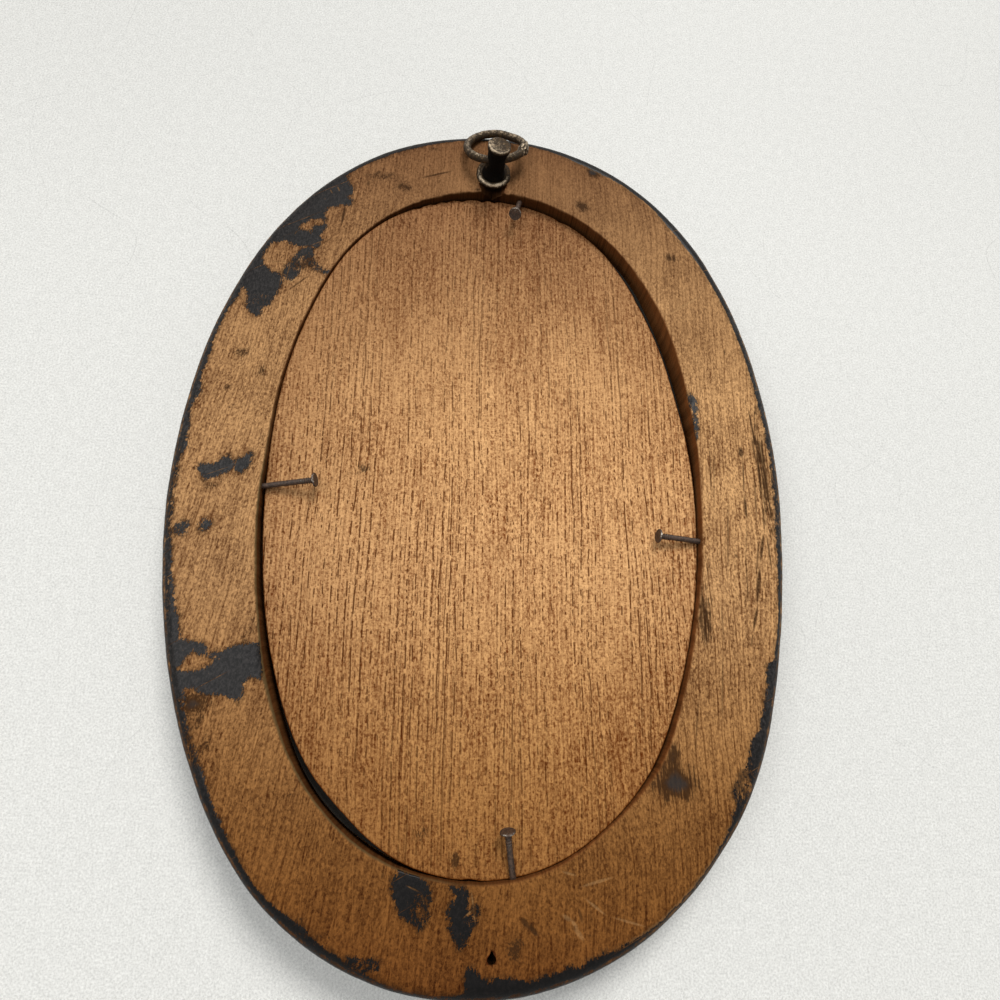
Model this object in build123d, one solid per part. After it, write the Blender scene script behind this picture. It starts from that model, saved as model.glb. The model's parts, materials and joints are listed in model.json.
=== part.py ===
from build123d import *
from math import atan2, cos, degrees, radians, sin, sqrt
import os

# Oval picture frame seen from its back: a rebated wooden moulding lying face down, with glass,
# picture, card and a thin board held in the rebate by four slanting brads, and a turned hanging
# stud with a split ring at the top of the oval. Millimetres. Z = 0 is the plane that the front of
# the moulding rests on, +Z points out of the back, +Y points to the hanger, and the origin is the
# centre of the oval.

# Oval of the rebate wall: two end arcs and two flatter side arcs that meet in a common tangent
rebate_width = 127.0
rebate_length = 203.0
end_sharpness = 9.5  # how much smaller the radius of its end arcs is than half its width

# Rail
rail_width = 24.8  # rebate wall to the outermost edge
rail_thickness = 18.0
lip_width = 6.0  # how far the front lip reaches over the glass
back_arris_radius = 4.0
rim_chamfer = 0.5  # worn edge of the rebate at the back

# Front moulding, from the outside in: ovolo, crown, ogee, sight bead
ovolo_width = 12.8
ovolo_height = 10.2
ovolo_radius = 13.0
crown_width = 4.0
quirk_depth = 0.8  # small steps on both sides of the crown
quirk_ledge = 0.5
ogee_width = 9.4
ogee_height = 3.8
ogee_radius = 6.0
bead_ledge = 0.6
bead_step = 0.6
bead_radius = 1.5

# What the rebate holds, from the front to the back
glass_thickness = 2.0
picture_thickness = 0.3
card_thickness = 1.2
board_thickness = 3.5
recess_depth = 3.5  # back of the board to back of the rail
glass_clearance = 0.5
picture_clearance = 0.9
card_clearance = 0.7
board_side_clearance = 1.05
board_end_clearance = 0.65
board_radius_clearance = 2.8  # the board's ends are cut to a smaller radius than the rebate's
board_swing = 1.22  # how far its shoulders have turned towards the wall
board_shift_x = -0.25
board_shift_y = -0.05

# Brads: wire nails driven slanting into the rebate wall, just over the board
brad_diameter = 1.6
brad_length = 25.4
brad_point_length = 2.6
brad_head_diameter = 4.0
brad_head_thickness = 0.6
brad_board_clearance = 0.2
brad_hole_clearance = 0.03

# Where each brad enters the wall, as a share of the rebate's half width or half length
left_brad_share = -0.016
right_brad_share = -0.127
top_brad_share = 0.141
bottom_brad_share = 0.146

# How far each brad stands out of the wall
left_brad_showing = 16.4
right_brad_showing = 14.0
top_brad_showing = 10.0
bottom_brad_showing = 12.4

# How steeply each brad climbs to its head
left_brad_slope = 12.0  # degrees
right_brad_slope = 9.0  # degrees
top_brad_slope = 27.0  # degrees
bottom_brad_slope = 17.0  # degrees

# How far each brad turns from square to the wall
left_brad_turn = 6.5  # degrees
right_brad_turn = -4.0  # degrees
top_brad_turn = -12.5  # degrees
bottom_brad_turn = 10.0  # degrees

# Rosette under the hanging stud
hanger_offset = 7.2  # rebate rim to the middle of the hanger
rosette_diameter = 11.2
rosette_thickness = 0.6
rosette_edge_height = 0.3
rosette_rim_height = 1.1
rosette_rim_width = 1.5

# Hanging stud
screw_diameter = 3.2
screw_length = 12.0
screw_point_length = 3.5
screw_clearance = 0.03
collar_diameter = 7.4
collar_height = 0.7
cavetto_height = 1.1
cavetto_hollow = 0.3
neck_diameter = 6.2
flare_height = 1.6
head_diameter = 7.3
head_height = 1.3
head_edge_radius = 0.35
stud_height = 11.6  # back of the rail to the top of the head
lean_right = 6.5  # degrees, the stud has been bent by use
lean_away = 6.5  # degrees
bore_height = 6.1  # back of the rail to the axis that the ring swings on
bore_mouth = 0.4

# Hanging ring
ring_wire = 2.5
ring_diameter = 20.3  # outside
ring_slack = 0.2  # round the wire in the bore
ring_gap = 0.35  # between its butted ends
ring_end_chamfer = 0.3
ring_rise = 6.0  # degrees, the ring's axis climbs to the right
ring_droop = 16.0  # degrees, the ring hangs past the top edge
ring_joint_angle = -6.0  # degrees, from its right side towards the stud

# Wear that shows: wood burst out of the rebate wall below the stud, and an old nail hole
chip_width = 6.2
chip_depth = 4.2
chip_reach = 3.4
old_hole_diameter = 2.2
old_hole_depth = 5.0
old_hole_offset = 16.2  # rebate rim to the hole
old_hole_side = 3.8

overrun = 1.0  # how far a cut runs past a face



def oval_sizes(half_width, half_length, end_radius):
    """Where the arcs of an oval have their centres, its side radius and the angle of its joints."""
    end_centre = half_length - end_radius
    side_radius = (half_width**2 + end_centre**2 - end_radius**2) / (2 * (half_width - end_radius))
    side_centre = side_radius - half_width
    return end_centre, side_centre, side_radius, degrees(atan2(end_centre, side_centre))


# Places that follow from the sizes above
half_width = rebate_width / 2
half_length = rebate_length / 2
rebate_end_radius = half_width - end_sharpness
end_centre, side_centre, side_radius, joint_angle = oval_sizes(half_width, half_length, rebate_end_radius)
board_turn = degrees(board_swing / (end_centre * cos(radians(joint_angle))))

board_back = rail_thickness - recess_depth
card_back = board_back - board_thickness
picture_back = card_back - card_thickness
glass_back = picture_back - picture_thickness
shelf_height = glass_back - glass_thickness
hanger_y = half_length + hanger_offset
ring_radius = (ring_diameter - ring_wire) / 2
neck_radius = neck_diameter / 2


def oval_arcs(half_width, half_length, end_radius):
    """Centre, radius, first angle and sweep of the four arcs of an oval."""
    end_centre, side_centre, side_radius, joint_angle = oval_sizes(half_width, half_length, end_radius)
    side_sweep = 2 * joint_angle
    end_sweep = 180 - side_sweep
    return [
        ((-side_centre, 0), side_radius, -joint_angle, side_sweep),
        ((0, end_centre), end_radius, joint_angle, end_sweep),
        ((side_centre, 0), side_radius, 180 - joint_angle, side_sweep),
        ((0, -end_centre), end_radius, 180 + joint_angle, end_sweep),
    ]


def oval_plate(side_clearance, end_clearance, radius_clearance, bottom, thickness):
    """A flat oval plate that is smaller than the rebate by its clearances."""
    width = half_width - side_clearance
    length = half_length - end_clearance
    arcs = [
        CenterArc(centre, radius, start, sweep)
        for centre, radius, start, sweep in oval_arcs(width, length, rebate_end_radius - radius_clearance)
    ]
    return Pos(0, 0, bottom) * extrude(make_face(arcs), thickness)


def even_plate(clearance, bottom, thickness):
    """A flat oval plate with the same clearance all round."""
    return oval_plate(clearance, clearance, clearance, bottom, thickness)


def rail_section():
    """The rail cut across: X runs outwards from the rebate wall, Y from the front to the back."""
    crown_outer = rail_width - ovolo_width
    crown_inner = crown_outer - crown_width
    ogee_start = crown_inner - quirk_ledge
    ogee_end = ogee_start - ogee_width
    ogee_back = quirk_depth + ogee_height
    ogee_middle = ((ogee_start + ogee_end) / 2, (quirk_depth + ogee_back) / 2)
    bead_seat = ogee_back + bead_step
    bead_outer = ogee_end - bead_ledge
    bead_middle = bead_outer - bead_radius
    bead_inner = bead_middle - bead_radius
    back = Polyline(
        (-lip_width, shelf_height),
        (0, shelf_height),
        (0, rail_thickness - rim_chamfer),
        (rim_chamfer, rail_thickness),
        (rail_width - back_arris_radius, rail_thickness),
    )
    arris = RadiusArc(back @ 1, (rail_width, rail_thickness - back_arris_radius), back_arris_radius)
    side = Line(arris @ 1, (rail_width, ovolo_height + quirk_depth))
    ovolo = RadiusArc(side @ 1, (crown_outer, quirk_depth), ovolo_radius)
    crown = Polyline(
        ovolo @ 1,
        (crown_outer, 0),
        (crown_inner, 0),
        (crown_inner, quirk_depth),
        (ogee_start, quirk_depth),
    )
    ogee_convex = RadiusArc(crown @ 1, ogee_middle, ogee_radius)
    ogee_concave = RadiusArc(ogee_middle, (ogee_end, ogee_back), -ogee_radius)
    step = Polyline(ogee_concave @ 1, (ogee_end, bead_seat), (bead_outer, bead_seat))
    bead = ThreePointArc(step @ 1, (bead_middle, bead_seat - bead_radius), (bead_inner, bead_seat))
    sight = Polyline(bead @ 1, (-lip_width, bead_seat), (-lip_width, shelf_height))
    return make_face([back, arris, side, ovolo, crown, ogee_convex, ogee_concave, step, bead, sight])


def moulding():
    """The rail's section turned about the centre of each arc of the oval in turn."""
    section = rail_section()
    up = Vector(0, 0, 1)
    segments = []
    for (x, y), radius, start, sweep in oval_arcs(half_width, half_length, rebate_end_radius):
        outwards = Vector(cos(radians(start)), sin(radians(start)), 0)
        place = Plane(origin=Vector(x, y, 0) + outwards * radius, x_dir=outwards, z_dir=outwards.cross(up))
        segments.append(revolve(place * section, Axis((x, y, 0), (0, 0, 1)), sweep))
    return segments[0] + segments[1:]


def side_wall_place(side, share, slope, turn):
    """A brad's place on the left (-1) or right (1) rebate wall, X pointing to its head."""
    y = share * half_length
    x = side * (sqrt(side_radius**2 - y**2) - side_centre)
    return brad_place(x, y, 90 + side * 90 + turn, slope)


def end_wall_place(end, share, slope, turn):
    """A brad's place on the bottom (-1) or top (1) rebate wall, X pointing to its head."""
    x = share * half_width
    y = end * (end_centre + sqrt(rebate_end_radius**2 - x**2))
    return brad_place(x, y, -end * 90 + turn, slope)


def brad_place(x, y, heading, slope):
    """A plane whose X runs along a brad that clears the board where it leaves the wall."""
    z = board_back + brad_diameter / 2 + brad_board_clearance
    level = Vector(cos(radians(heading)), sin(radians(heading)), 0)
    across = Vector(0, 0, 1).cross(level)
    along = level * cos(radians(slope)) + Vector(0, 0, 1) * sin(radians(slope))
    return Plane(origin=(x, y, z), x_dir=along, z_dir=along.cross(across))


def brad(showing, clearance=0):
    """A wire nail along X that stands out of the wall at X = 0 by its showing length."""
    point = showing - brad_length
    shank = brad_diameter / 2 + clearance
    head = brad_head_diameter / 2 + clearance
    outline = Polyline(
        (point - clearance, 0),
        (point + brad_point_length, shank),
        (showing - brad_head_thickness, shank),
        (showing - brad_head_thickness, head),
        (showing, head),
        (showing, 0),
        close=True,
    )
    return revolve(make_face(outline), Axis.X)


def screw_shank(clearance, top):
    """The wood screw of the stud, without its thread, from the point to the given height."""
    radius = screw_diameter / 2 + clearance
    outline = Polyline(
        (0, -screw_length - clearance),
        (radius, screw_point_length - screw_length),
        (radius, top),
        (0, top),
        close=True,
    )
    return revolve(Plane.XZ * make_face(outline), Axis.Z)


def hanger_rosette():
    """A turned washer with a rounded rim, seated on the wood."""
    outer = rosette_diameter / 2
    inner = outer - rosette_rim_width
    hole = screw_diameter / 2 + screw_clearance
    flat = Polyline(
        (inner, rosette_thickness),
        (hole, rosette_thickness),
        (hole, 0),
        (outer, 0),
        (outer, rosette_edge_height),
    )
    rim = ThreePointArc(flat @ 1, ((outer + inner) / 2, rosette_rim_height), flat @ 0)
    return revolve(Plane.XZ * make_face([flat, rim]), Axis.Z)


def lean():
    """The way that the bent stud points: up, and away to the right and past the top edge."""
    return Vector(sin(radians(lean_right)), sin(radians(lean_away)), 1).normalized()


def post_place():
    """Where the leaning post starts, on top of the stud's collar."""
    return Plane(origin=(0, 0, rosette_thickness + collar_height), x_dir=(1, 0, 0), z_dir=lean())


def ring_axis():
    """The point and the direction that the ring swings about, seen from the foot of the stud."""
    start = rosette_thickness + collar_height
    way = lean()
    point = Vector(0, 0, start) + way * ((bore_height - start) / way.Z)
    return point, Vector(cos(radians(ring_rise)), 0, sin(radians(ring_rise)))


def ring_sagitta():
    """How far the ring's wire bends away from a straight line inside the neck."""
    return ring_radius - sqrt(ring_radius**2 - neck_radius**2)


def cross_bore():
    """The ring's hole through the neck, with a rounded mouth on each side."""
    point, way = ring_axis()
    radius = (ring_wire + ring_sagitta()) / 2 + ring_slack
    reach = neck_radius + overrun
    outline = Polyline(
        (-reach, 0),
        (-reach, radius + bore_mouth + overrun),
        (bore_mouth - neck_radius, radius),
        (neck_radius - bore_mouth, radius),
        (reach, radius + bore_mouth + overrun),
        (reach, 0),
        close=True,
    )
    return Plane(origin=point, x_dir=way, z_dir=(0, 1, 0)) * revolve(make_face(outline), Axis.X)


def hanger_stud():
    """Screw, collar and leaning post in one turned piece, bored across for the ring."""
    collar = collar_diameter / 2
    head = head_diameter / 2
    collar_top = rosette_thickness + collar_height
    neck_start = collar_top + cavetto_height
    foot_outline = [
        Polyline((0, neck_start), (0, rosette_thickness), (collar, rosette_thickness), (collar, collar_top)),
        SagittaArc((collar, collar_top), (neck_radius, neck_start), -cavetto_hollow),
        Line((neck_radius, neck_start), (0, neck_start)),
    ]
    foot = revolve(Plane.XZ * make_face(foot_outline), Axis.Z)
    post_height = (stud_height - collar_top) / lean().Z
    head_foot = post_height - head_height
    flare_foot = head_foot - flare_height
    post_outline = [
        Polyline((0, 0), (neck_radius, 0), (neck_radius, flare_foot)),
        Line((neck_radius, flare_foot), (head, head_foot)),
        Line((head, head_foot), (head, post_height - head_edge_radius)),
        RadiusArc((head, post_height - head_edge_radius), (head - head_edge_radius, post_height), -head_edge_radius),
        Polyline((head - head_edge_radius, post_height), (0, post_height), (0, 0)),
    ]
    post = post_place() * revolve(Plane.XZ * make_face(post_outline), Axis.Z)
    return screw_shank(0, rosette_thickness + collar_height) + foot + post - cross_bore()


def hanger_ring():
    """A bent wire ring with butted ends, drooping from the bore over the top edge."""
    turn = degrees(ring_gap / ring_radius)
    start = ring_joint_angle + turn / 2
    facing = Vector(cos(radians(start)), sin(radians(start)), 0)
    wire = Plane(origin=facing * ring_radius, x_dir=facing, z_dir=facing.cross(Vector(0, 0, 1))) * Circle(ring_wire / 2)
    ring = revolve(wire, Axis.Z, 360 - turn)
    ring = chamfer(ring.faces().filter_by(GeomType.PLANE).edges(), ring_end_chamfer)
    point, way = ring_axis()
    droop = radians(ring_droop)
    rise = radians(ring_rise)
    out = Vector(sin(droop) * sin(rise), cos(droop), -sin(droop) * cos(rise))
    place = Plane(origin=point, x_dir=way, z_dir=way.cross(out))
    return place * Pos(0, ring_radius - ring_sagitta() / 2, 0) * ring


def rim_chip():
    """The wedge of wood missing from the rebate wall below the stud."""
    wall = half_length - overrun
    mouth = Polyline(
        (-chip_width / 2, wall, rail_thickness + overrun),
        (chip_width / 2, wall, rail_thickness + overrun),
        (0, wall, rail_thickness - chip_depth),
        close=True,
    )
    return loft([make_face(mouth), Vertex(0, half_length + chip_reach, rail_thickness + overrun)])


def old_nail_hole():
    """A blind hole left by a nail in the bottom of the rail."""
    hole = Cylinder(old_hole_diameter / 2, old_hole_depth + overrun, align=(Align.CENTER, Align.CENTER, Align.MIN))
    return Pos(old_hole_side, -half_length - old_hole_offset, rail_thickness - old_hole_depth) * hole


brads = {
    "brad_left": (side_wall_place(-1, left_brad_share, left_brad_slope, left_brad_turn), left_brad_showing),
    "brad_right": (side_wall_place(1, right_brad_share, right_brad_slope, right_brad_turn), right_brad_showing),
    "brad_top": (end_wall_place(1, top_brad_share, top_brad_slope, top_brad_turn), top_brad_showing),
    "brad_bottom": (end_wall_place(-1, bottom_brad_share, bottom_brad_slope, bottom_brad_turn), bottom_brad_showing),
}

hanger_foot = Pos(0, hanger_y, rail_thickness)

frame_rail = moulding() - hanger_foot * screw_shank(screw_clearance, overrun) - rim_chip() - old_nail_hole()
for place, showing in brads.values():
    frame_rail -= place * brad(showing, brad_hole_clearance)

board = oval_plate(board_side_clearance, board_end_clearance, board_radius_clearance, card_back, board_thickness)
parts = {
    "frame_rail": frame_rail,
    "glass_pane": even_plate(glass_clearance, shelf_height, glass_thickness),
    "picture_sheet": even_plate(picture_clearance, glass_back, picture_thickness),
    "mount_card": even_plate(card_clearance, picture_back, card_thickness),
    "backing_board": Pos(board_shift_x, board_shift_y, 0) * Rot(0, 0, board_turn) * board,
    "hanger_rosette": hanger_foot * hanger_rosette(),
    "hanger_stud": hanger_foot * hanger_stud(),
    "hanger_ring": hanger_foot * hanger_ring(),
}
for name, (place, showing) in brads.items():
    parts[name] = place * brad(showing)

os.makedirs("parts", exist_ok=True)
for name, solid in parts.items():
    export_step(solid, f"parts/{name}.step")

swing_point, swing_way = ring_axis()
swing_point = swing_point + Vector(0, hanger_y, rail_thickness)
print("rebate side radius", round(side_radius, 3), "board turned by", round(board_turn, 2))
print("ring swings about", tuple(round(value, 3) for value in swing_point))
print("along", tuple(round(value, 5) for value in swing_way))
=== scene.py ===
import json
from math import asin, atan2, ceil, copysign, cos, exp, pi, radians, sin, sqrt

import bmesh
import bpy
import numpy as np
from bpy.props import FloatProperty, FloatVectorProperty, PointerProperty
from bpy.types import Operator, Panel, PropertyGroup
from mathutils import Matrix, Vector, noise


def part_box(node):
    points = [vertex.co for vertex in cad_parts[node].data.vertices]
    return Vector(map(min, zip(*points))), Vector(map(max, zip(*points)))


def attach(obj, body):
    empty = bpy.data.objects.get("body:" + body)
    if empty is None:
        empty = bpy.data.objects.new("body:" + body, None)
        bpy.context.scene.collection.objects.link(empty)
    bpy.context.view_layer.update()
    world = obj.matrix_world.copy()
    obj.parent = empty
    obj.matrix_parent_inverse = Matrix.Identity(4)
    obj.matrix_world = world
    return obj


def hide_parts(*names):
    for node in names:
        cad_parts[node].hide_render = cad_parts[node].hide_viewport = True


bl_info = {
    "name": "Oval picture frame, seen from its back",
    "version": (1, 0, 0),
    "blender": (4, 5, 0),
    "location": "3D View > Sidebar > Oval frame",
    "description": "Dresses the CAD model of an old oval picture frame that lies face down",
    "category": "Object",
}

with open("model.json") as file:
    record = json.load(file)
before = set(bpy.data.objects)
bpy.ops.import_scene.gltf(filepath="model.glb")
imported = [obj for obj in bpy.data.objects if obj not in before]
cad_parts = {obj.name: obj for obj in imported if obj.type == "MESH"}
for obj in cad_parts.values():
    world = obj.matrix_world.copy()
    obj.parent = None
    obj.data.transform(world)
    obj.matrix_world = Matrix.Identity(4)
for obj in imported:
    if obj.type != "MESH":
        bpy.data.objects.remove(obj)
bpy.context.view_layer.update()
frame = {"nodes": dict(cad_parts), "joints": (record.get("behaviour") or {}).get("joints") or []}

MM = 0.001
SMOOTH_ANGLE = radians(38)

# The photograph is 1000 pixels square. Its camera was fitted to the rebate's rim and the outer edge: the
# places are in millimetres in the frame of the CAD.
PHOTO_MIDDLE = 500
FOCAL_PIXELS = 720
SENSOR_WIDTH = 36.0
CAMERA_PLACE = Vector((-11.01, -63.75, 212.22))
CAMERA_RIGHT = Vector((0.9965, 0.0161, 0.0820))
CAMERA_UP = Vector((-0.0397, 0.9549, 0.2943))

# Far lamps: name, the way to the lamp, how many degrees wide it looks, strength and tint
LAMPS = (
    ("window_light", (0.26, 0.82, 1.05), 22, 1.98, (1.0, 0.99, 0.97)),
    ("room_light", (-0.60, 0.10, 1.2), 40, 1.02, (0.98, 0.99, 1.0)),
)
ROOM_LIGHT = (0.95, 0.98, 1.0, 1.0)
ROOM_STRENGTH = 0.25
ROOM_SEEN = (0.80, 0.80, 0.78, 1.0)

# The front moulding from the ovolo to the sight bead: millimetres outwards from the rebate wall and up from
# the front plane, the radius of the arc that ends there, 0 for a straight line, and its number of faces
OVOLO_FOOT = 11.0
MOULDING = (
    ((12.0, 0.8), 13.0, 16), ((12.0, 0.15), 0, 1), ((11.85, 0), 0, 1), ((8.15, 0), 0, 4), ((8.0, 0.15), 0, 1),
    ((8.0, 0.8), 0, 1), ((7.5, 0.8), 0, 1), ((2.8, 2.7), 6.0, 7), ((-1.9, 4.6), -6.0, 7), ((-1.9, 5.2), 0, 1),
    ((-2.5, 5.2), 0, 1), ((-5.5, 5.2), 1.501, 10),
)
BEAD_SEAT = 5.2

# Lines of the moulding that are rubbed: outwards from the rebate wall and up from the front plane
RUBBED_LINES = ((12.0, 0.0), (8.0, 0.0), (-4.0, 3.7), (5.4, 1.4))

# The rim is torn most at the top: distance along the rebate wall, and how far that reaches
TORN_MIDDLE, TORN_REACH = 205, 18
# Middle of the splintered chip, outwards from the rebate wall
CHIP_MIDDLE = 1.5
# What the shader reads where there is paint for certain, and where there is none
PAINTED, BARE = 5.0, -5.0

# The stud's post starts to lean at this height, and its bore is widened at its mouths
POST_FOOT = 1.3
BORE_RADIUS, BORE_END, BORE_MOUTH = 1.73, 1.75, 3.4
# The bent ring: how much wider and less deep than a round one it is, the angle at which its ends meet, and
# the angle of half their gap
RING_WIDE, RING_DEEP = 1.045, 0.905
RING_JOINT, HALF_GAP = radians(-6), 0.02
# How far the ring hangs short of the bore's middle, and how far it has slid to the left
RING_SHORT, RING_SLID = 0.28, 0.5

# How the hand-cut edges leave the even oval, in millimetres: distance along the rebate wall from the arcs'
# joint at the lower right, then how far outwards the rim, the board's edge and the outer edge lie from where
# an even oval puts the wall, the wall and the outer edge, and the board's height. The rim was read off the
# photograph. The other columns were worked out from such readings by a scratch script with the fitted camera,
# and rounded. The board's height is inferred: it is the lift that keeps its edge inside the wall, and more at
# the upper left, until the seam there looked right.
EDGE_READINGS = [
    (0, -0.2, -0.85, 0.45, 14.6), (10, -0.4, -0.75, 0.6, 14.7), (20, -0.6, -0.8, 0.2, 14.9),
    (30, -0.6, -0.9, -0.35, 14.7), (45, -0.8, -1.0, -0.85, 14.6), (60, -1.0, -1.4, -0.95, 14.5),
    (75, -0.85, -1.6, -0.6, 14.4), (90, -0.3, -2.0, -0.3, 14.3), (105, 0.0, -2.6, -0.15, 14.2),
    (120, 0.7, -2.5, 0.0, 14.1), (130, 0.6, -2.8, -0.2, 14.0), (140, -0.1, -3.2, -0.8, 14.0),
    (150, -0.75, -3.2, -1.4, 14.0), (160, -0.6, -2.3, -1.3, 14.1), (175, -0.4, -1.4, -1.0, 14.3),
    (190, -0.1, -0.8, -0.9, 14.4), (205, 0.0, -0.5, -1.2, 14.6), (220, -0.1, -0.35, -1.15, 15.5),
    (230, -0.2, -0.4, -1.25, 16.2), (240, -0.4, -0.6, -1.75, 17.0), (250, -0.6, -0.75, -2.0, 17.3),
    (260, -0.6, -0.75, -1.75, 17.3), (270, -0.3, -0.5, -0.9, 17.2), (280, -0.2, -0.35, -0.35, 17.1),
    (295, -0.2, -0.35, 0.3, 16.9), (310, -0.5, -0.65, 0.3, 16.6), (320, -1.0, -1.15, 0.25, 16.2),
    (330, -1.1, -1.25, 0.2, 15.2), (340, -0.6, -1.4, 0.25, 14.6), (355, -0.6, -1.5, 0.0, 14.4),
    (370, -0.2, -1.35, -0.15, 14.4), (380, 0.0, -1.2, -0.2, 14.3), (390, 0.9, -1.3, -0.4, 14.3),
    (400, 0.6, -1.4, -0.75, 14.2), (410, 0.2, -2.0, -1.3, 14.1), (420, -0.3, -2.4, -1.3, 14.0),
    (430, -0.2, -3.0, -0.5, 14.0), (440, -0.1, -2.1, -0.1, 14.2), (450, 0.0, -1.1, 0.35, 14.6),
    (460, -0.4, -0.6, 0.6, 14.7), (475, -0.2, -0.35, 0.5, 14.8), (490, -0.5, -0.65, 0.2, 15.8),
    (500, -1.2, -1.35, -0.15, 16.5), (510, -1.7, -1.85, -0.5, 16.8), (520, -1.2, -1.4, -0.6, 15.4),
    (528, -0.3, -0.95, -0.15, 14.6),
]

# Where the black paint of the outer edge ends on the back: distance along the rebate wall, how far outwards
# from that wall, and how ragged the paint's border is
BAND_READINGS = [
    (0, 20.4, 0.6), (9, 21.2, 0.5), (19, 20.7, 0.3), (27, 20.5, 0.25), (29, 21.9, 0.25), (39, 21.8, 0.2),
    (49, 21.1, 0.5), (59, 20.8, 0.5), (69, 20.7, 0.6), (79, 21.3, 0.6), (89, 21.3, 0.5), (99, 21.3, 0.4),
    (109, 21.5, 0.15), (129, 21.2, 0.15), (139, 20.5, 0.15), (149, 19.4, 0.15), (155, 19.4, 0.15),
    (160, 20.1, 0.2), (170, 20.2, 0.2), (176, 19.8, 0.3), (184, 20.0, 0.2), (190, 20.6, 0.2),
    (214, 20.6, 0.3), (220, 20.2, 0.3), (239, 20.0, 0.3), (249, 19.5, 0.3), (269, 20.3, 0.3),
    (285, 20.8, 0.4), (289, 22.0, 0.5), (299, 22.2, 0.6), (304, 21.7, 0.8), (309, 21.6, 0.8),
    (314, 20.8, 0.8), (319, 22.0, 0.8), (325, 21.4, 0.8), (329, 20.8, 0.8), (334, 22.0, 0.8),
    (340, 21.9, 0.8), (349, 21.5, 0.6), (359, 21.2, 0.6), (364, 20.8, 0.6), (370, 20.2, 0.8),
    (376, 19.7, 0.8), (390, 20.1, 0.9), (399, 20.8, 0.9), (404, 20.4, 0.9), (409, 20.2, 0.7),
    (419, 20.4, 0.5), (429, 21.4, 0.3), (435, 21.2, 0.4), (438, 20.6, 0.5), (444, 21.7, 0.5),
    (450, 22.0, 0.6), (454, 23.3, 0.4), (459, 23.8, 0.2), (464, 23.8, 0.2), (468, 23.0, 0.3),
    (471, 21.0, 0.3), (479, 20.6, 0.3), (484, 21.8, 0.4), (494, 21.5, 0.4), (499, 22.0, 0.4),
    (504, 22.5, 0.3), (514, 22.5, 0.3), (520, 22.3, 0.4), (525, 21.9, 0.6), (530, 20.9, 0.6),
]

# Black paint that has run from the front onto the bare back: outlines in pixels of the photograph
PAINT_MARKS = [
    [(338, 166), (348, 176), (350, 184), (354, 189), (353, 193), (346, 196), (353, 200), (351, 205),
     (342, 205), (334, 207), (328, 208), (325, 213), (327, 226), (322, 233), (322, 240), (318, 247),
     (304, 247), (296, 247), (289, 242), (284, 240), (273, 243), (267, 246), (255, 248), (280, 213),
     (305, 188)],
    [(283, 272), (289, 263), (296, 254), (303, 246), (312, 246), (314, 256), (316, 261), (322, 267),
     (331, 270), (330, 276), (321, 272), (314, 270), (308, 265), (302, 268), (298, 274), (291, 280),
     (284, 277)],
    [(255, 245), (264, 252), (263, 262), (272, 272), (283, 276), (282, 286), (275, 296), (270, 304),
     (262, 308), (262, 315), (255, 317), (249, 312), (245, 302), (248, 290), (243, 287), (225, 292),
     (228, 280), (242, 258)],
    [(196, 469), (203, 463), (212, 463), (221, 458), (229, 455), (235, 463), (230, 471), (221, 474),
     (213, 479), (202, 478)],
    [(235, 469), (236, 459), (244, 456), (252, 452), (252, 460), (245, 471), (239, 472)],
    [(173, 525), (181, 520), (189, 523), (188, 532), (180, 536), (172, 533)],
    [(198, 523), (206, 519), (212, 523), (208, 531), (199, 530)],
    [(158, 643), (184, 641), (199, 642), (208, 648), (206, 655), (216, 652), (230, 647), (243, 643),
     (259, 644), (262, 665), (262, 679), (250, 677), (242, 682), (243, 692), (239, 701), (232, 698),
     (221, 696), (208, 695), (196, 690), (187, 689), (178, 695), (165, 690)],
    [(399, 871), (414, 874), (427, 883), (431, 897), (428, 906), (431, 916), (424, 926), (419, 932),
     (412, 924), (403, 918), (395, 908), (392, 892), (391, 880)],
    [(449, 886), (460, 887), (468, 893), (469, 906), (476, 903), (479, 912), (475, 926), (470, 935),
     (465, 947), (459, 949), (453, 941), (450, 926), (445, 914), (450, 905), (456, 899)],
    [(464, 978), (466, 968), (475, 970), (481, 979), (490, 983), (497, 979), (512, 978), (530, 980),
     (542, 977), (554, 973), (569, 968), (582, 966), (590, 961), (602, 953), (620, 949), (630, 948),
     (640, 960), (560, 1000), (480, 1004), (466, 998)],
    [(768, 663), (766, 690), (763, 721), (751, 741), (748, 761), (737, 781), (732, 792), (736, 804),
     (732, 819), (745, 815), (775, 745), (785, 690), (786, 660)],
    [(688, 394), (694, 396), (698, 403), (697, 416), (699, 430), (697, 441), (695, 430), (693, 412),
     (689, 406)],
    [(345, 955), (362, 958), (378, 962), (380, 971), (362, 973), (348, 968)],
]

# Wood that shows inside those marks
BARE_SPOTS = [
    [(299, 228), (303, 223), (308, 222), (311, 218), (316, 221), (322, 219), (327, 223), (318, 225),
     (313, 226), (312, 231), (308, 229), (302, 231)],
    [(178, 668), (190, 652), (199, 654), (219, 659), (209, 665), (199, 669), (184, 671)],
    [(180, 700), (190, 705), (197, 722), (202, 745), (196, 748), (188, 725)],
]

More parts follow.
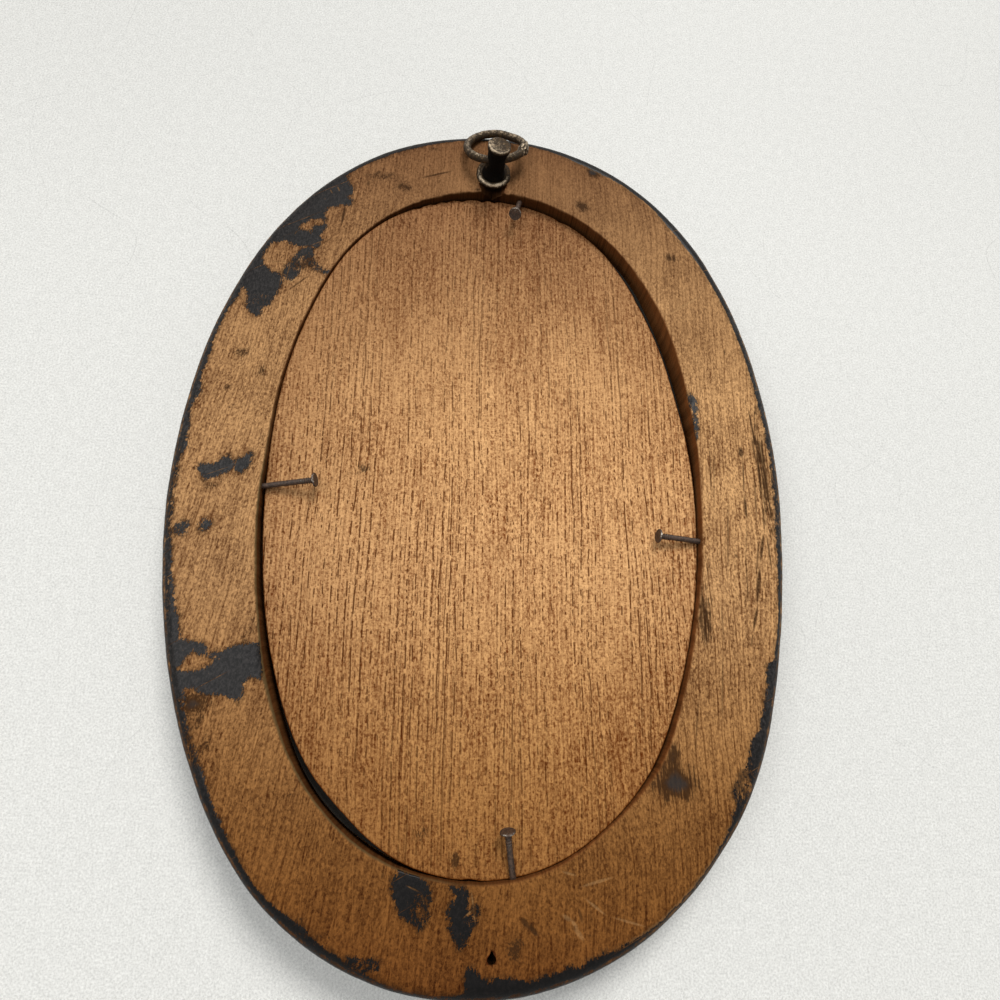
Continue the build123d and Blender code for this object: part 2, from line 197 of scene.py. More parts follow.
# Smudges on the back of the rail: pixel, half width and half height in pixels, and strength
SMUDGES = [
    (303, 262, 22, 12, 0.35), (296, 290, 14, 6, 0.3), (243, 352, 11, 6, 0.7), (262, 371, 6, 7, 0.75),
    (227, 387, 5, 4, 0.85), (232, 406, 4, 4, 0.4), (209, 486, 9, 6, 0.55), (183, 655, 8, 9, 0.6),
    (195, 704, 24, 12, 0.8), (215, 480, 26, 8, 0.25), (383, 176, 24, 8, 0.5), (404, 187, 11, 6, 0.65),
    (434, 149, 9, 3, 0.6), (593, 172, 8, 6, 1.15), (582, 206, 9, 8, 0.75), (670, 258, 7, 6, 0.75),
    (516, 949, 9, 20, 0.8), (530, 927, 8, 9, 0.45), (677, 784, 27, 21, 1.02), (673, 757, 9, 18, 0.8),
    (300, 919, 9, 6, 0.6), (323, 935, 12, 5, 0.55), (375, 965, 16, 8, 0.5), (205, 745, 7, 12, 0.6),
    (199, 722, 6, 8, 0.6), (190, 705, 10, 10, 0.5), (268, 888, 12, 6, 0.35), (178, 455, 8, 26, 0.65),
    (171, 535, 7, 30, 0.55), (176, 625, 8, 18, 0.5), (258, 600, 5, 22, 0.35), (254, 625, 6, 14, 0.4),
    (262, 438, 4, 12, 0.5), (298, 790, 40, 30, 0.22), (230, 470, 24, 10, 0.25), (705, 618, 9, 34, 0.7),
    (706, 560, 5, 34, 0.35), (766, 490, 7, 60, 0.65), (758, 440, 8, 36, 0.45), (740, 790, 16, 26, 0.4),
    (235, 655, 34, 12, 0.3), (550, 905, 30, 10, 0.2), (610, 935, 40, 9, 0.25), (410, 900, 22, 30, 0.3),
    (462, 915, 22, 32, 0.3), (184, 760, 14, 60, 0.35), (500, 190, 26, 10, 0.25), (345, 201, 5, 4, 0.7),
    (246, 640, 9, 24, 0.35), (640, 770, 14, 20, 0.35), (560, 872, 50, 10, 0.2), (440, 885, 40, 8, 0.25),
    (262, 250, 8, 8, 0.5), (480, 190, 14, 6, 0.4),
]

# Smudges on the board, in the same way
BOARD_SMUDGES = [
    (364, 469, 8, 6, 0.85), (348, 476, 12, 5, 0.45), (455, 861, 6, 10, 1.2), (422, 834, 8, 7, 0.95),
    (414, 830, 5, 5, 0.8), (500, 216, 40, 14, 0.25), (400, 238, 60, 20, 0.2), (514, 228, 8, 8, 0.35),
    (492, 845, 7, 12, 0.3), (300, 600, 14, 90, 0.15),
]

# Scratches on the back of the rail: two ends in pixels, half width in millimetres, and lightness from -1 to 1
SCRATCHES = [
    (577, 888, 617, 876, 0.5, 0.5), (560, 871, 578, 876, 0.4, 0.5), (583, 897, 608, 917, 0.45, 0.55),
    (608, 916, 650, 928, 0.4, 0.45), (561, 914, 573, 922, 0.7, 0.5), (570, 918, 579, 931, 0.6, 0.5),
    (573, 926, 585, 942, 0.8, 0.5), (664, 317, 707, 293, 0.5, 0.6), (417, 179, 457, 170, 0.45, -0.9),
    (346, 203, 341, 227, 0.55, -1.0), (334, 236, 323, 244, 0.3, -0.6), (471, 888, 476, 930, 0.3, 0.8),
    (461, 920, 478, 905, 0.3, 0.7), (405, 885, 422, 893, 0.3, 0.7), (422, 893, 424, 905, 0.3, 0.6),
    (520, 917, 530, 929, 0.9, -1.0), (528, 925, 539, 937, 0.8, -1.0), (287, 254, 278, 291, 0.3, 0.8),
    (292, 257, 283, 290, 0.25, 0.7), (272, 268, 291, 278, 0.25, 0.8), (283, 287, 301, 275, 0.3, 0.8),
    (264, 262, 300, 262, 0.25, 0.6), (286, 292, 311, 274, 0.35, -0.8), (308, 229, 312, 235, 0.3, 0.8),
    (294, 235, 298, 230, 0.25, 0.7), (337, 185, 340, 192, 0.35, 0.7), (330, 189, 333, 194, 0.3, 0.7),
    (741, 446, 741, 459, 1.1, -1.0), (743, 456, 744, 500, 0.3, -0.8), (744, 492, 747, 523, 0.55, -1.0),
    (747, 520, 746, 560, 0.25, -0.5), (747, 404, 757, 452, 0.4, -0.9), (756, 448, 763, 505, 0.45, -1.0),
    (762, 500, 765, 536, 0.35, -0.8), (751, 434, 757, 468, 0.35, -0.8), (754, 466, 757, 528, 0.35, -0.7),
    (761, 440, 769, 500, 0.5, -0.8), (756, 420, 764, 470, 0.3, 0.7), (761, 470, 767, 540, 0.3, 0.7),
    (764, 530, 760, 566, 0.55, -1.0), (760, 562, 757, 608, 0.75, -1.0), (758, 604, 753, 634, 0.5, -1.0),
    (753, 632, 751, 650, 0.3, -0.6), (759, 532, 756, 584, 0.3, -0.7), (766, 530, 773, 578, 0.35, -0.8),
    (745, 545, 749, 612, 0.25, -0.6), (728, 480, 728, 592, 0.25, -0.6), (709, 438, 712, 505, 0.25, -0.6),
    (714, 440, 714, 522, 0.25, -0.5), (721, 600, 724, 650, 0.3, -0.6), (703, 585, 701, 640, 0.4, -0.8),
    (707, 590, 704, 655, 0.4, -0.8), (711, 600, 708, 650, 0.3, -0.6), (734, 554, 739, 559, 0.5, -0.7),
    (369, 180, 368, 187, 0.6, -0.7), (373, 175, 383, 171, 0.6, -0.7), (385, 178, 396, 173, 0.6, -0.6),
    (397, 189, 404, 183, 0.7, -0.9), (403, 184, 411, 191, 0.7, -0.8), (590, 905, 592, 925, 0.4, -0.3),
    (384, 871, 381, 880, 0.4, -0.6), (723, 640, 722, 735, 0.3, -0.6), (699, 690, 695, 760, 0.3, -0.6),
    (578, 906, 583, 926, 0.5, -0.7), (640, 750, 652, 766, 0.3, -0.4),
]

# The old nail hole in the bottom of the rail
NAIL_HOLE = (491.5, 959.5)

# Where the paint is worn through in specks, in the way of the smudges
WORN_SPOTS = [
    (325, 200, 34, 30, 0.2), (262, 300, 22, 14, 0.45), (306, 264, 24, 14, 0.85), (422, 912, 16, 26, 0.85),
    (473, 908, 10, 24, 0.85), (462, 942, 8, 8, 0.6), (742, 780, 16, 30, 0.95), (364, 965, 28, 12, 0.7),
    (320, 935, 24, 12, 0.8), (190, 745, 14, 50, 0.75), (181, 527, 10, 8, 0.55), (205, 655, 26, 12, 0.5),
    (770, 480, 9, 70, 0.65), (174, 490, 9, 60, 0.75), (167, 600, 6, 50, 0.55), (204, 527, 8, 6, 0.4),
    (655, 930, 20, 20, 0.4),
]

# Chips along the rim of the rebate, at the back: pixel, reach along the rim and size in millimetres
RIM_CHIPS = [
    (640, 277, 1.6, 0.8), (651, 295, 1.2, 0.6), (690, 400, 2.2, 0.9), (703, 545, 3.0, 1.2),
    (709, 610, 9.0, 2.0), (262, 600, 14.0, 0.5), (300, 745, 22.0, 0.6), (350, 815, 16.0, 0.4),
    (660, 790, 7.0, 1.1), (460, 192, 3.0, 0.6), (440, 198, 2.0, 0.7), (520, 197, 2.4, 0.5),
    (560, 213, 3.0, 0.4), (513, 886, 2.0, 0.5), (396, 858, 3.0, 0.5),
]

# Chips along the edge of the board, in the same way
BOARD_CHIPS = [
    (418, 208, 1.2, 1.0), (434, 204, 1.0, 0.8), (446, 202, 0.8, 0.7), (482, 200, 1.0, 0.8),
    (494, 201, 0.8, 0.7), (402, 213, 1.0, 0.6), (462, 201, 1.0, 0.6), (540, 208, 1.0, 0.5),
    (380, 226, 0.8, 0.4), (425, 206, 0.7, 0.6), (560, 220, 1.5, 0.4), (640, 300, 1.2, 0.4),
    (300, 330, 1.0, 0.3), (470, 880, 2.0, 0.4), (600, 850, 1.5, 0.3),
]


def tone(red, green, blue):
    """A screen colour, from 0 to 255, as the linear colour that a shader takes."""
    return tuple(((value / 255 + 0.055) / 1.055) ** 2.4 for value in (red, green, blue))


def length(name, text, default):
    """A size that a user can change."""
    return FloatProperty(name=name, description=text, default=default, min=0.0, precision=5, unit="LENGTH")


def colour(name, text, default):
    """A colour that a user can change."""
    return FloatVectorProperty(
        name=name, description=text, default=default, min=0.0, max=1.0, size=3, subtype="COLOR"
    )


class RailSizes(PropertyGroup):
    rebate_half_width: length("Rebate half width", "Centre of the oval to the rebate's side wall", 0.0635)
    rebate_half_length: length("Rebate half length", "Centre of the oval to the rebate's end wall", 0.1015)
    rebate_end_radius: length("Rebate end radius", "Radius of the two end arcs of the rebate wall", 0.054)
    rail_width: length("Rail width", "Rebate wall to the outermost edge", 0.0248)
    rail_thickness: length("Rail thickness", "Front plane to back plane", 0.018)
    shelf_height: length("Shelf height", "Front plane to the shelf that the glass lies on", 0.0075)
    lip_width: length("Lip width", "How far the front lip reaches over the glass", 0.006)
    arris_radius: length("Arris radius", "Rounding of the outer edge at the back", 0.004)
    rim_wear: length("Rim wear", "Rounding of the rebate's edge at the back, where it is least worn", 0.00035)
    mesh_step: length("Mesh step", "Distance between the cross sections of the rail's mesh", 0.0008)


class BoardSizes(PropertyGroup):
    edge_wear: length("Edge wear", "Rounding of the board's edge", 0.0003)
    mesh_step: length("Mesh step", "Distance between the points along the board's edge", 0.0007)


class HangerSizes(PropertyGroup):
    foot_y: length("Foot place", "Centre of the oval to the middle of the hanging stud", 0.1087)
    rosette_diameter: length("Rosette diameter", "Outside of the rosette", 0.0112)
    neck_diameter: length("Neck diameter", "Stud where the ring goes through", 0.0062)
    head_diameter: length("Head diameter", "Head of the stud", 0.0073)
    stud_height: length("Stud height", "Back of the rail to the top of the stud", 0.0116)
    ring_wire: length("Ring wire", "Diameter of the ring's wire", 0.0025)
    ring_diameter: length("Ring diameter", "Outside of the ring", 0.0203)
    lean: FloatProperty(
        name="Lean",
        description="How far the stud leans to the right, and as far past the top edge",
        default=radians(6.5),
        unit="ROTATION",
    )
    ring_droop: FloatProperty(
        name="Ring droop",
        description="How far the ring hangs down past the top edge",
        default=radians(18.0),
        unit="ROTATION",
    )


class Finishes(PropertyGroup):
    rail_light: colour("Rail wood", "Bare wood on the back of the rail", tone(242, 188, 128))
    rail_dark: colour("Rail wood, dark", "Dark streaks and stains of that wood", tone(84, 40, 10))
    wall: colour("Rebate wall", "Old cut wood inside the rebate", tone(84, 50, 24))
    board_light: colour("Board wood", "Light wood of the board", tone(254, 198, 136))
    board_dark: colour("Board wood, dark", "Darker growth in the board", tone(118, 56, 8))
    deep: colour("Falloff tone", "What both woods darken towards where less light falls", tone(92, 40, 10))
    pore: colour("Pores", "Open pores of both woods", tone(96, 44, 0))
    paint: colour("Black paint", "Old black paint of the front and the edge", tone(48, 46, 45))
    stain: colour("Stain", "Thin red brown stain where the paint ends", tone(60, 38, 20))
    metal_dark: colour("Dark metal", "Blackened brass of the hanger", tone(60, 50, 40))
    metal_worn: colour("Worn metal", "Brass of the hanger where it is rubbed", tone(176, 158, 134))
    rust: colour("Rust", "Rusted wire of the brads", tone(70, 52, 40))
    steel: colour("Steel", "Wire of the brads where it is rubbed", tone(186, 176, 162))
    paper: colour("Paper", "Bare sheet that stands for the picture", tone(226, 216, 192))
    card: colour("Card", "Grey card behind the picture", tone(150, 140, 120))
    table: colour("Table", "Pale table top that the frame lies on", tone(232, 231, 226))


class Number:
    """A number that changes over a surface: it wraps a socket, and a sum on it adds Math nodes."""

    def __init__(self, surface, socket):
        self.surface = surface
        self.socket = socket

    def __add__(self, other):
        return self.surface.math("ADD", self, other)

    def __radd__(self, other):
        return self.surface.math("ADD", other, self)

    def __sub__(self, other):
        return self.surface.math("SUBTRACT", self, other)

    def __rsub__(self, other):
        return self.surface.math("SUBTRACT", other, self)

    def __mul__(self, other):
        return self.surface.math("MULTIPLY", self, other)

    def __rmul__(self, other):
        return self.surface.math("MULTIPLY", other, self)


class Surface:
    """The nodes of a new material, or of the world that is given."""

    def __init__(self, name, world=None):
        self.owner = world or bpy.data.materials.new(name)
        self.owner.use_nodes = True
        self.tree = self.owner.node_tree
        self.tree.nodes.clear()

    def node(self, kind, settings=None, values=None, output=0):
        """Adds a node: its settings come first, then values or links go to its sockets."""
        node = self.tree.nodes.new(kind)
        for name, setting in (settings or {}).items():
            setattr(node, name, setting)
        for name, value in (values or {}).items():
            socket = self.socket(node.inputs, name)
            if isinstance(value, Number):
                self.tree.links.new(value.socket, socket)
            else:
                socket.default_value = value
        return Number(self, self.socket(node.outputs, output))

    @staticmethod
    def socket(sockets, name):
        """A socket by its index or its identifier, or else by its name."""
        if isinstance(name, int):
            return sockets[name]
        for socket in sockets:
            if socket.identifier == name:
                return socket
        return sockets[name]

    def math(self, operation, first, second):
        """A Math node."""
        return self.node("ShaderNodeMath", {"operation": operation}, {0: first, 1: second})

    def highest(self, first, *others):
        """The highest of some numbers; the first may be None."""
        for other in others:
            first = other if first is None else self.math("MAXIMUM", first, other)
        return first

    def swing(self, *layers):
        """The sum of noises around 0, each times its own strength."""
        parts = [(layer - 0.5) * strength for layer, strength in layers]
        return sum(parts[1:], parts[0])

    def step(self, value, low, high):
        """A smooth step from 0 at low to 1 at high."""
        values = {"Value": value, "From Min": low, "From Max": high}
        return self.node("ShaderNodeMapRange", {"interpolation_type": "SMOOTHSTEP"}, values)

    def millimetres(self):
        """The place on the object in its own frame, in millimetres."""
        place = self.node("ShaderNodeTexCoord", output="Object")
        return self.stretched(place, (1 / MM, 1 / MM, 1 / MM))

    def stretched(self, place, scale):
        """A place with each of its three numbers times its own scale."""
        return self.node("ShaderNodeVectorMath", {"operation": "MULTIPLY"}, {0: place, 1: scale})

    def split(self, place):
        """The three numbers of a place."""
        node = self.node("ShaderNodeSeparateXYZ", None, {"Vector": place}).socket.node
        return [Number(self, socket) for socket in node.outputs]

    def joined(self, x, y, z):
        """A place from its three numbers."""
        return self.node("ShaderNodeCombineXYZ", None, {"X": x, "Y": y, "Z": z})

    def noise(self, place, detail=2.0, roughness=0.5, space="2D"):
        """Cloudy noise with one cell to a unit, around 0.5; 2D noise runs straight down through the piece."""
        values = {"Vector": place, "Scale": 1.0, "Detail": detail, "Roughness": roughness}
        return self.node("ShaderNodeTexNoise", {"noise_dimensions": space}, values)

    def spread(self, place, scale, detail=2.0, roughness=0.5):
        """Flat noise with so many cells to a millimetre each way."""
        return self.noise(self.stretched(place, (*scale, 0)), detail, roughness)

    def lumps(self, place, scale, detail=4.0, roughness=0.65):
        """Solid noise with so many cells to a millimetre."""
        return self.noise(self.stretched(place, (scale,) * 3), detail, roughness, "3D")

    def cells(self, place, scale):
        """A random number from 0 to 1 for each of many small cells, so many to a millimetre each way."""
        values = {"Vector": self.stretched(place, (*scale, 0)), "Scale": 1.0}
        return self.split(self.node("ShaderNodeTexVoronoi", {"voronoi_dimensions": "2D"}, values, "Color"))[0]

    def attribute(self, name):
        """A number that the mesh carries."""
        return self.node("ShaderNodeAttribute", {"attribute_name": name}, output="Fac")

    def blend(self, first, second, share, kind="MIX"):
        """A colour between two colours, or the first one multiplied by so much of the second."""
        colours = [tuple(c) + (1.0,) if not isinstance(c, Number) else c for c in (first, second)]
        values = {"Factor_Float": share, "A_Color": colours[0], "B_Color": colours[1]}
        return self.node("ShaderNodeMix", {"data_type": "RGBA", "blend_type": kind}, values, "Result_Color")

    def times(self, colour, share):
        """A colour made darker or lighter by a number."""
        values = {"Vector": colour if isinstance(colour, Number) else tuple(colour), "Scale": share}
        return self.node("ShaderNodeVectorMath", {"operation": "SCALE"}, values)

    def bump(self, height, depth):
        """Small relief: a height of 1 stands out by the depth, in metres."""
        return self.node("ShaderNodeBump", None, {"Height": height, "Distance": depth, "Strength": 1.0})

    def finish(self, **values):
        """Ends in one Principled shader with these socket values or links."""
        names = {name.replace("_", " "): value for name, value in values.items()}
        for name, value in names.items():
            if name.endswith("Color") and not isinstance(value, Number):
                names[name] = tuple(value) + (1.0,)
        return self.end("ShaderNodeOutputMaterial", self.node("ShaderNodeBsdfPrincipled", None, names))

    def end(self, kind, shader):
        """Ends in an output of that kind, and returns the material or the world."""
        output = self.tree.nodes.new(kind)
        self.tree.links.new(shader.socket, output.inputs["Surface"])
        return self.owner


def photo_spot(x, y, height):
    """Where a pixel of the photograph lies on the plane at that height, in millimetres."""
    forward = CAMERA_UP.cross(CAMERA_RIGHT)
    ray = CAMERA_RIGHT * (x - PHOTO_MIDDLE) + CAMERA_UP * (PHOTO_MIDDLE - y) + forward * FOCAL_PIXELS
    point = CAMERA_PLACE + ray * ((height - CAMERA_PLACE.z) / ray.z)
    return np.array((point.x, point.y))


def depth_inside(points, outline):
    """How deep points lie inside an outline, negative outside it, in the outline's unit."""
    nearest = np.full(len(points), np.inf)
    inside = np.zeros(len(points), bool)
    for start, end in zip(outline, outline[1:] + outline[:1]):
        edge = end - start
        share = np.clip((points - start) @ edge / (edge @ edge), 0, 1)
        nearest = np.minimum(nearest, np.linalg.norm(points - start - share[:, None] * edge, axis=1))
        if edge[1]:
            above = (start[1] > points[:, 1]) != (end[1] > points[:, 1])
            inside ^= above & (points[:, 0] < start[0] + (points[:, 1] - start[1]) / edge[1] * edge[0])
    return np.where(inside, nearest, -nearest)


def marks_depth(points, outlines, height):
    """How deep points lie inside the nearest of some outlines of the photograph."""
    deepest = np.full(len(points), -np.inf)
    for outline in outlines:
        spots = [photo_spot(x, y, height) for x, y in outline]
        deepest = np.maximum(deepest, depth_inside(points, spots))
    return deepest


def smudge_strength(points, smudges, height):
    """How strongly points are smudged, from 0 to 1."""
    clean = np.ones(len(points))
    for x, y, reach_x, reach_y, strength in smudges:
        middle = photo_spot(x, y, height)
        right = photo_spot(x + reach_x, y, height) - middle
        up = photo_spot(x, y - reach_y, height) - middle
        away = points - middle
        square = (away @ right / (right @ right)) ** 2 + (away @ up / (up @ up)) ** 2
        clean *= 1 - strength * np.exp(-1.2 * square)
    return 1 - clean


def chip_size(point, chips, height):
    """How much wear some chips add at a point, in millimetres."""
    total = 0
    for spot, reach, size in chip_spots(chips, height):
        away = (point[0] - spot[0]) ** 2 + (point[1] - spot[1]) ** 2
        total += size * np.exp(-away / reach**2)
    return total


def chip_spots(chips, height):
    """The places of chips on the plane at that height, which are worked out once."""
    key = (id(chips), height)
    if key not in chip_spots.known:
        chip_spots.known[key] = [(photo_spot(x, y, height), reach, size) for x, y, reach, size in chips]
    return chip_spots.known[key]


chip_spots.known = {}


def wobble(x, y, z, scale):
    """Smooth noise about 0 with cells of that size in millimetres."""
    return noise.noise(Vector((x / scale, y / scale, z / scale)))


def arc(start, end, radius, count):
    """Points of an arc after its start; a positive radius bulges to the left of the way."""
    start, end = np.array(start, float), np.array(end, float)
    chord = end - start
    reach = np.linalg.norm(chord) / 2
    left = np.array((-chord[1], chord[0])) / (2 * reach)
    centre = (start + end) / 2 - left * copysign(sqrt(radius**2 - reach**2), radius)
    first = atan2(*(start - centre)[::-1])
    sweep = -copysign(2 * asin(reach / abs(radius)), radius)
    angles = first + sweep * np.arange(1, count + 1) / count
    return [tuple((centre + abs(radius) * np.array((cos(a), sin(a)))).tolist()) for a in angles]


def straight(start, end, count):
    """Evenly spaced points of a line after its start."""
    return [tuple(p) for p in np.linspace(start, end, count + 1)[1:].tolist()]


def edge_reading(distance, around):
    """How the edges leave the even oval at a distance along the rebate wall, which is so long around."""
    readings = np.array(EDGE_READINGS)
    reach = np.linspace(-5, 5, 11)
    places, *columns = readings.T
    return [float(np.interp(distance + reach, places, column, period=around).mean()) for column in columns]


def oval_sections(half_width, half_length, end_radius, middle, step):
    """Cross sections round a four-arc oval, a step apart at the middle offset.

    Each has its centre, radius and angle, the distance along the oval and how long the oval is."""
    end_centre = half_length - end_radius
    side_radius = (half_width**2 + end_centre**2 - end_radius**2) / (2 * (half_width - end_radius))
    side_centre = side_radius - half_width
    joint = atan2(end_centre, side_centre)
    arcs = [
        ((-side_centre, 0), side_radius, -joint, 2 * joint),
        ((0, end_centre), end_radius, joint, pi - 2 * joint),
        ((side_centre, 0), side_radius, pi - joint, 2 * joint),
        ((0, -end_centre), end_radius, pi + joint, pi - 2 * joint),
    ]
    around = sum(radius * sweep for centre, radius, first, sweep in arcs)
    sections, passed = [], 0
    for centre, radius, first, sweep in arcs:
        count = ceil((radius + middle) * sweep / step)
        for turn in (np.arange(count) * sweep / count).tolist():
            sections.append((Vector(centre), radius, first + turn, passed + radius * turn, around))
        passed += radius * sweep
    return sections


def new_solid(name, points, faces, numbers):
    """An object from points in millimetres; each of its numbers is one for all or one for every point."""
    mesh = bpy.data.meshes.new(name)
    mesh.from_pydata([tuple(float(v) * MM for v in point) for point in points], [], faces)
    for number, values in numbers.items():
        attribute = mesh.attributes.new(number, "FLOAT", "POINT")
        attribute.data.foreach_set("value", np.full(len(points), values, np.float32))
    tidy_normals(mesh)
    solid = bpy.data.objects.new(name, mesh)
    bpy.context.collection.objects.link(solid)
    return solid


def mesh_piece(name, points, faces, material, body, replaced=(), numbers=None):
    """A piece from points in millimetres, riding on a CAD body, with numbers that its shader reads."""
    piece = new_solid(name, points, faces, numbers or {})
    piece.data.materials.append(material)
    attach(piece, body)
    if replaced:
        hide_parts(*replaced)
    return piece


def smooth(mesh):
    """Shades a mesh smooth apart from its sharp edges."""
    mesh.polygons.foreach_set("use_smooth", [True] * len(mesh.polygons))
    mesh.set_sharp_from_angle(angle=SMOOTH_ANGLE)


def tidy_normals(mesh):
    """Points the faces outwards and shades them smooth."""
    shape = bmesh.new()
    shape.from_mesh(mesh)
    bmesh.ops.recalc_face_normals(shape, faces=shape.faces)
    shape.to_mesh(mesh)
    shape.free()
    smooth(mesh)
    mesh.update()


def cut(piece, cutters):
    """Takes the cutters out of a piece, which keeps their numbers on its new faces, and removes them."""
    for cutter in cutters:
        modifier = piece.modifiers.new("cut", "BOOLEAN")
        modifier.operation = "DIFFERENCE"
        modifier.solver = "EXACT"
        modifier.object = cutter
    bpy.context.view_layer.update()
    evaluated = piece.evaluated_get(bpy.context.evaluated_depsgraph_get())
    mesh = bpy.data.meshes.new_from_object(evaluated)
    piece.modifiers.clear()
    piece.data = mesh
    for cutter in cutters:
        bpy.data.objects.remove(cutter)
    smooth(mesh)


def loop_faces(rows, columns, closed=False):
    """Faces between rows of points that are each a loop; if closed, the last row joins the first as well."""
    faces = []
    for row in range(rows if closed else rows - 1):
        here, after = row * columns, (row + 1) % rows * columns
        for column in range(columns):
            beside = (column + 1) % columns
            faces.append((here + column, here + beside, after + beside, after + column))
    return faces


def turned(profile, place, sides, rough=0.0, grain_size=1.0):
    """Points and faces of a turned piece: the profile's (radius, height) points round the place's Z axis."""
    points = []
    rows = [p for p in profile if p[0] > 0]
    for radius, height in rows:
        for side in range(sides):
            angle = 2 * pi * side / sides
            x, y = radius * cos(angle), radius * sin(angle)
            swell = 1 + rough * wobble(x + 7, y, height, grain_size) / max(radius, 0.5)
            lift = rough * 0.6 * wobble(x, y + 9, height, grain_size)
            points.append(place @ Vector((x * swell, y * swell, height + lift)))
    faces = loop_faces(len(rows), sides)
    ends = [place @ Vector((0, 0, profile[0][1])), place @ Vector((0, 0, profile[-1][1]))]
    first, last = len(points), len(points) + 1
    points += ends
    top = (len(rows) - 1) * sides
    for side in range(sides):
        after = (side + 1) % sides
        faces.append((first, after, side))
        faces.append((last, top + side, top + after))
    return points, faces


def rail_profile(sizes, rim):
    """The rail cut across, in millimetres: outwards from the rebate wall, and up from the front plane."""
    top = sizes.rail_thickness / MM
    wide = sizes.rail_width / MM
    shelf = sizes.shelf_height / MM
    lip = sizes.lip_width / MM
    arris = sizes.arris_radius / MM
    points = [(-lip, shelf)]
    points += straight((-lip, shelf), (0, shelf), 3)
    points += straight((0, shelf), (0, top - rim), 7)
    points += arc((0, top - rim), (rim, top), rim, 4)
    points += straight((rim, top), (wide - arris, top), 25)
    points += arc((wide - arris, top), (wide, top - arris), arris, 9)
    points += straight((wide, top - arris), (wide, OVOLO_FOOT), 3)
    start = (wide, OVOLO_FOOT)
    for end, radius, count in MOULDING:
        points += arc(start, end, radius, count) if radius else straight(start, end, count)
        start = end
    points += straight(start, (-lip, BEAD_SEAT), 1)
    points += straight((-lip, BEAD_SEAT), (-lip, shelf), 3)[:-1]
    return points


def rail_points(sizes):
    """Points of the worn rail, and the profile place of each."""
    top = sizes.rail_thickness / MM
    wide = sizes.rail_width / MM
    sections = rebate_sections(sizes, wide / 2, sizes.mesh_step / MM)
    points, across = [], []
    for centre, radius, angle, distance, around in sections:
        way = Vector((cos(angle), sin(angle)))
        rim_spot = centre + radius * way
        rim_out, _, edge_out, _ = edge_reading(distance, around)
        jagged = 0.12 + 0.35 * exp(-(((distance - TORN_MIDDLE) / TORN_REACH) ** 2))
        rim_out += jagged * (wobble(*rim_spot, 3, 2.6) + 0.7 * wobble(*rim_spot, 1, 0.9))
        rim = sizes.rim_wear / MM + 0.28 * max(0, wobble(*rim_spot, 3, 5)) + 0.12 * wobble(*rim_spot, 0, 1.3)
        rim = min(max(rim + chip_size(rim_spot, RIM_CHIPS, top), 0.15), 2.6)
        for out, up in rail_profile(sizes, rim):
            spot = centre + (radius + out) * way
            shift = min(rim_out, 0) * ramp(up, 11.0, 12.2) * (1 - ramp(out, 1, 7))
            shift += max(rim_out, 0) * ramp(up, 14.5, top) * (1 - ramp(out, 1, 7))
            shift += edge_out * ramp(out, wide / 2, wide) * ramp(up, 2, 9)
            lift = 0.10 * wobble(*spot, 0, 22) + 0.035 * wobble(*spot, 4, 3)
            lift *= ramp(up, top - 4.5, top - 1.5) * (1 if out > 0.2 else 0.3)
            rough = 0.10 * wobble(*spot, up + 50, 9) + 0.04 * wobble(*spot, up, 1.8)
            if up < 0.05:
                rough = 0
            if 0 < up < shelf_skin(sizes) and out < 0:
                rough *= 0.2
            spot += (shift + rough) * way
            points.append((spot.x, spot.y, max(up + lift, 0)))
            across.append((out, up, out + shift, distance, around))
    return points, np.array(across), len(sections)


def ramp(value, low, high):
    """A straight ramp from 0 at low to 1 at high."""
    return min(max((value - low) / (high - low), 0), 1)


def rebate_sections(sizes, middle, step):
    """Cross sections round the rebate wall."""
    oval = (sizes.rebate_half_width, sizes.rebate_half_length, sizes.rebate_end_radius)
    return oval_sections(*(size / MM for size in oval), middle, step)


def glow(points, middle, reach_x, reach_y, height):
    """How much of the photograph's light reaches points, from 0 to 1: the woods' colours hold its falloff."""
    away = (points - photo_spot(*middle, height)) / (reach_x, reach_y)
    return np.exp(-(away**2).sum(1))


def shelf_skin(sizes):
    """Just under the shelf, where the lip keeps its shape."""
    return sizes.shelf_height / MM - 0.1


def rail_numbers(sizes, points, across):
    """What the rail's shader reads: paint, smudges, place across the rail and wear."""
    spots = np.array(points)[:, :2]
    top = sizes.rail_thickness / MM
    wide = sizes.rail_width / MM
    out, up, moved_out, distance, around = across.T
    places, inner, border = np.array(BAND_READINGS).T
    paint = moved_out - np.interp(distance, places, inner, period=around[0])
    marks = marks_depth(spots, PAINT_MARKS, top)
    ragged = np.interp(distance, places, border, period=around[0])
    ragged = np.where(marks > np.minimum(paint, 0) - 1, 0.75, ragged)
    paint = np.maximum(paint, marks)
    paint = np.minimum(paint, -marks_depth(spots, BARE_SPOTS, top))
    paint = np.where(up < top - 2.6, PAINTED, paint)
    inside = (out <= 0.01) & (up > sizes.shelf_height / MM - 0.05)
    paint = np.where(inside, BARE, paint)
    smudges = np.where(up > top - 3, smudge_strength(spots, SMUDGES, top), 0)
    lines = (*RUBBED_LINES, (wide - 1.2, top - 1.2))
    away = np.min([np.hypot(out - u, up - v) for u, v in lines], axis=0)
    return {
        "paint": np.clip(paint, -6, 6),
        "smudge": smudges,
        "across": out,
        "rubbed": np.exp(-((away / 0.7) ** 2)),
        "ragged": ragged,
        "worn": np.where(up > top - 5, smudge_strength(spots, WORN_SPOTS, top), 0.1),
        "glow": glow(spots, (640, 465), 240, 104, top),
    }


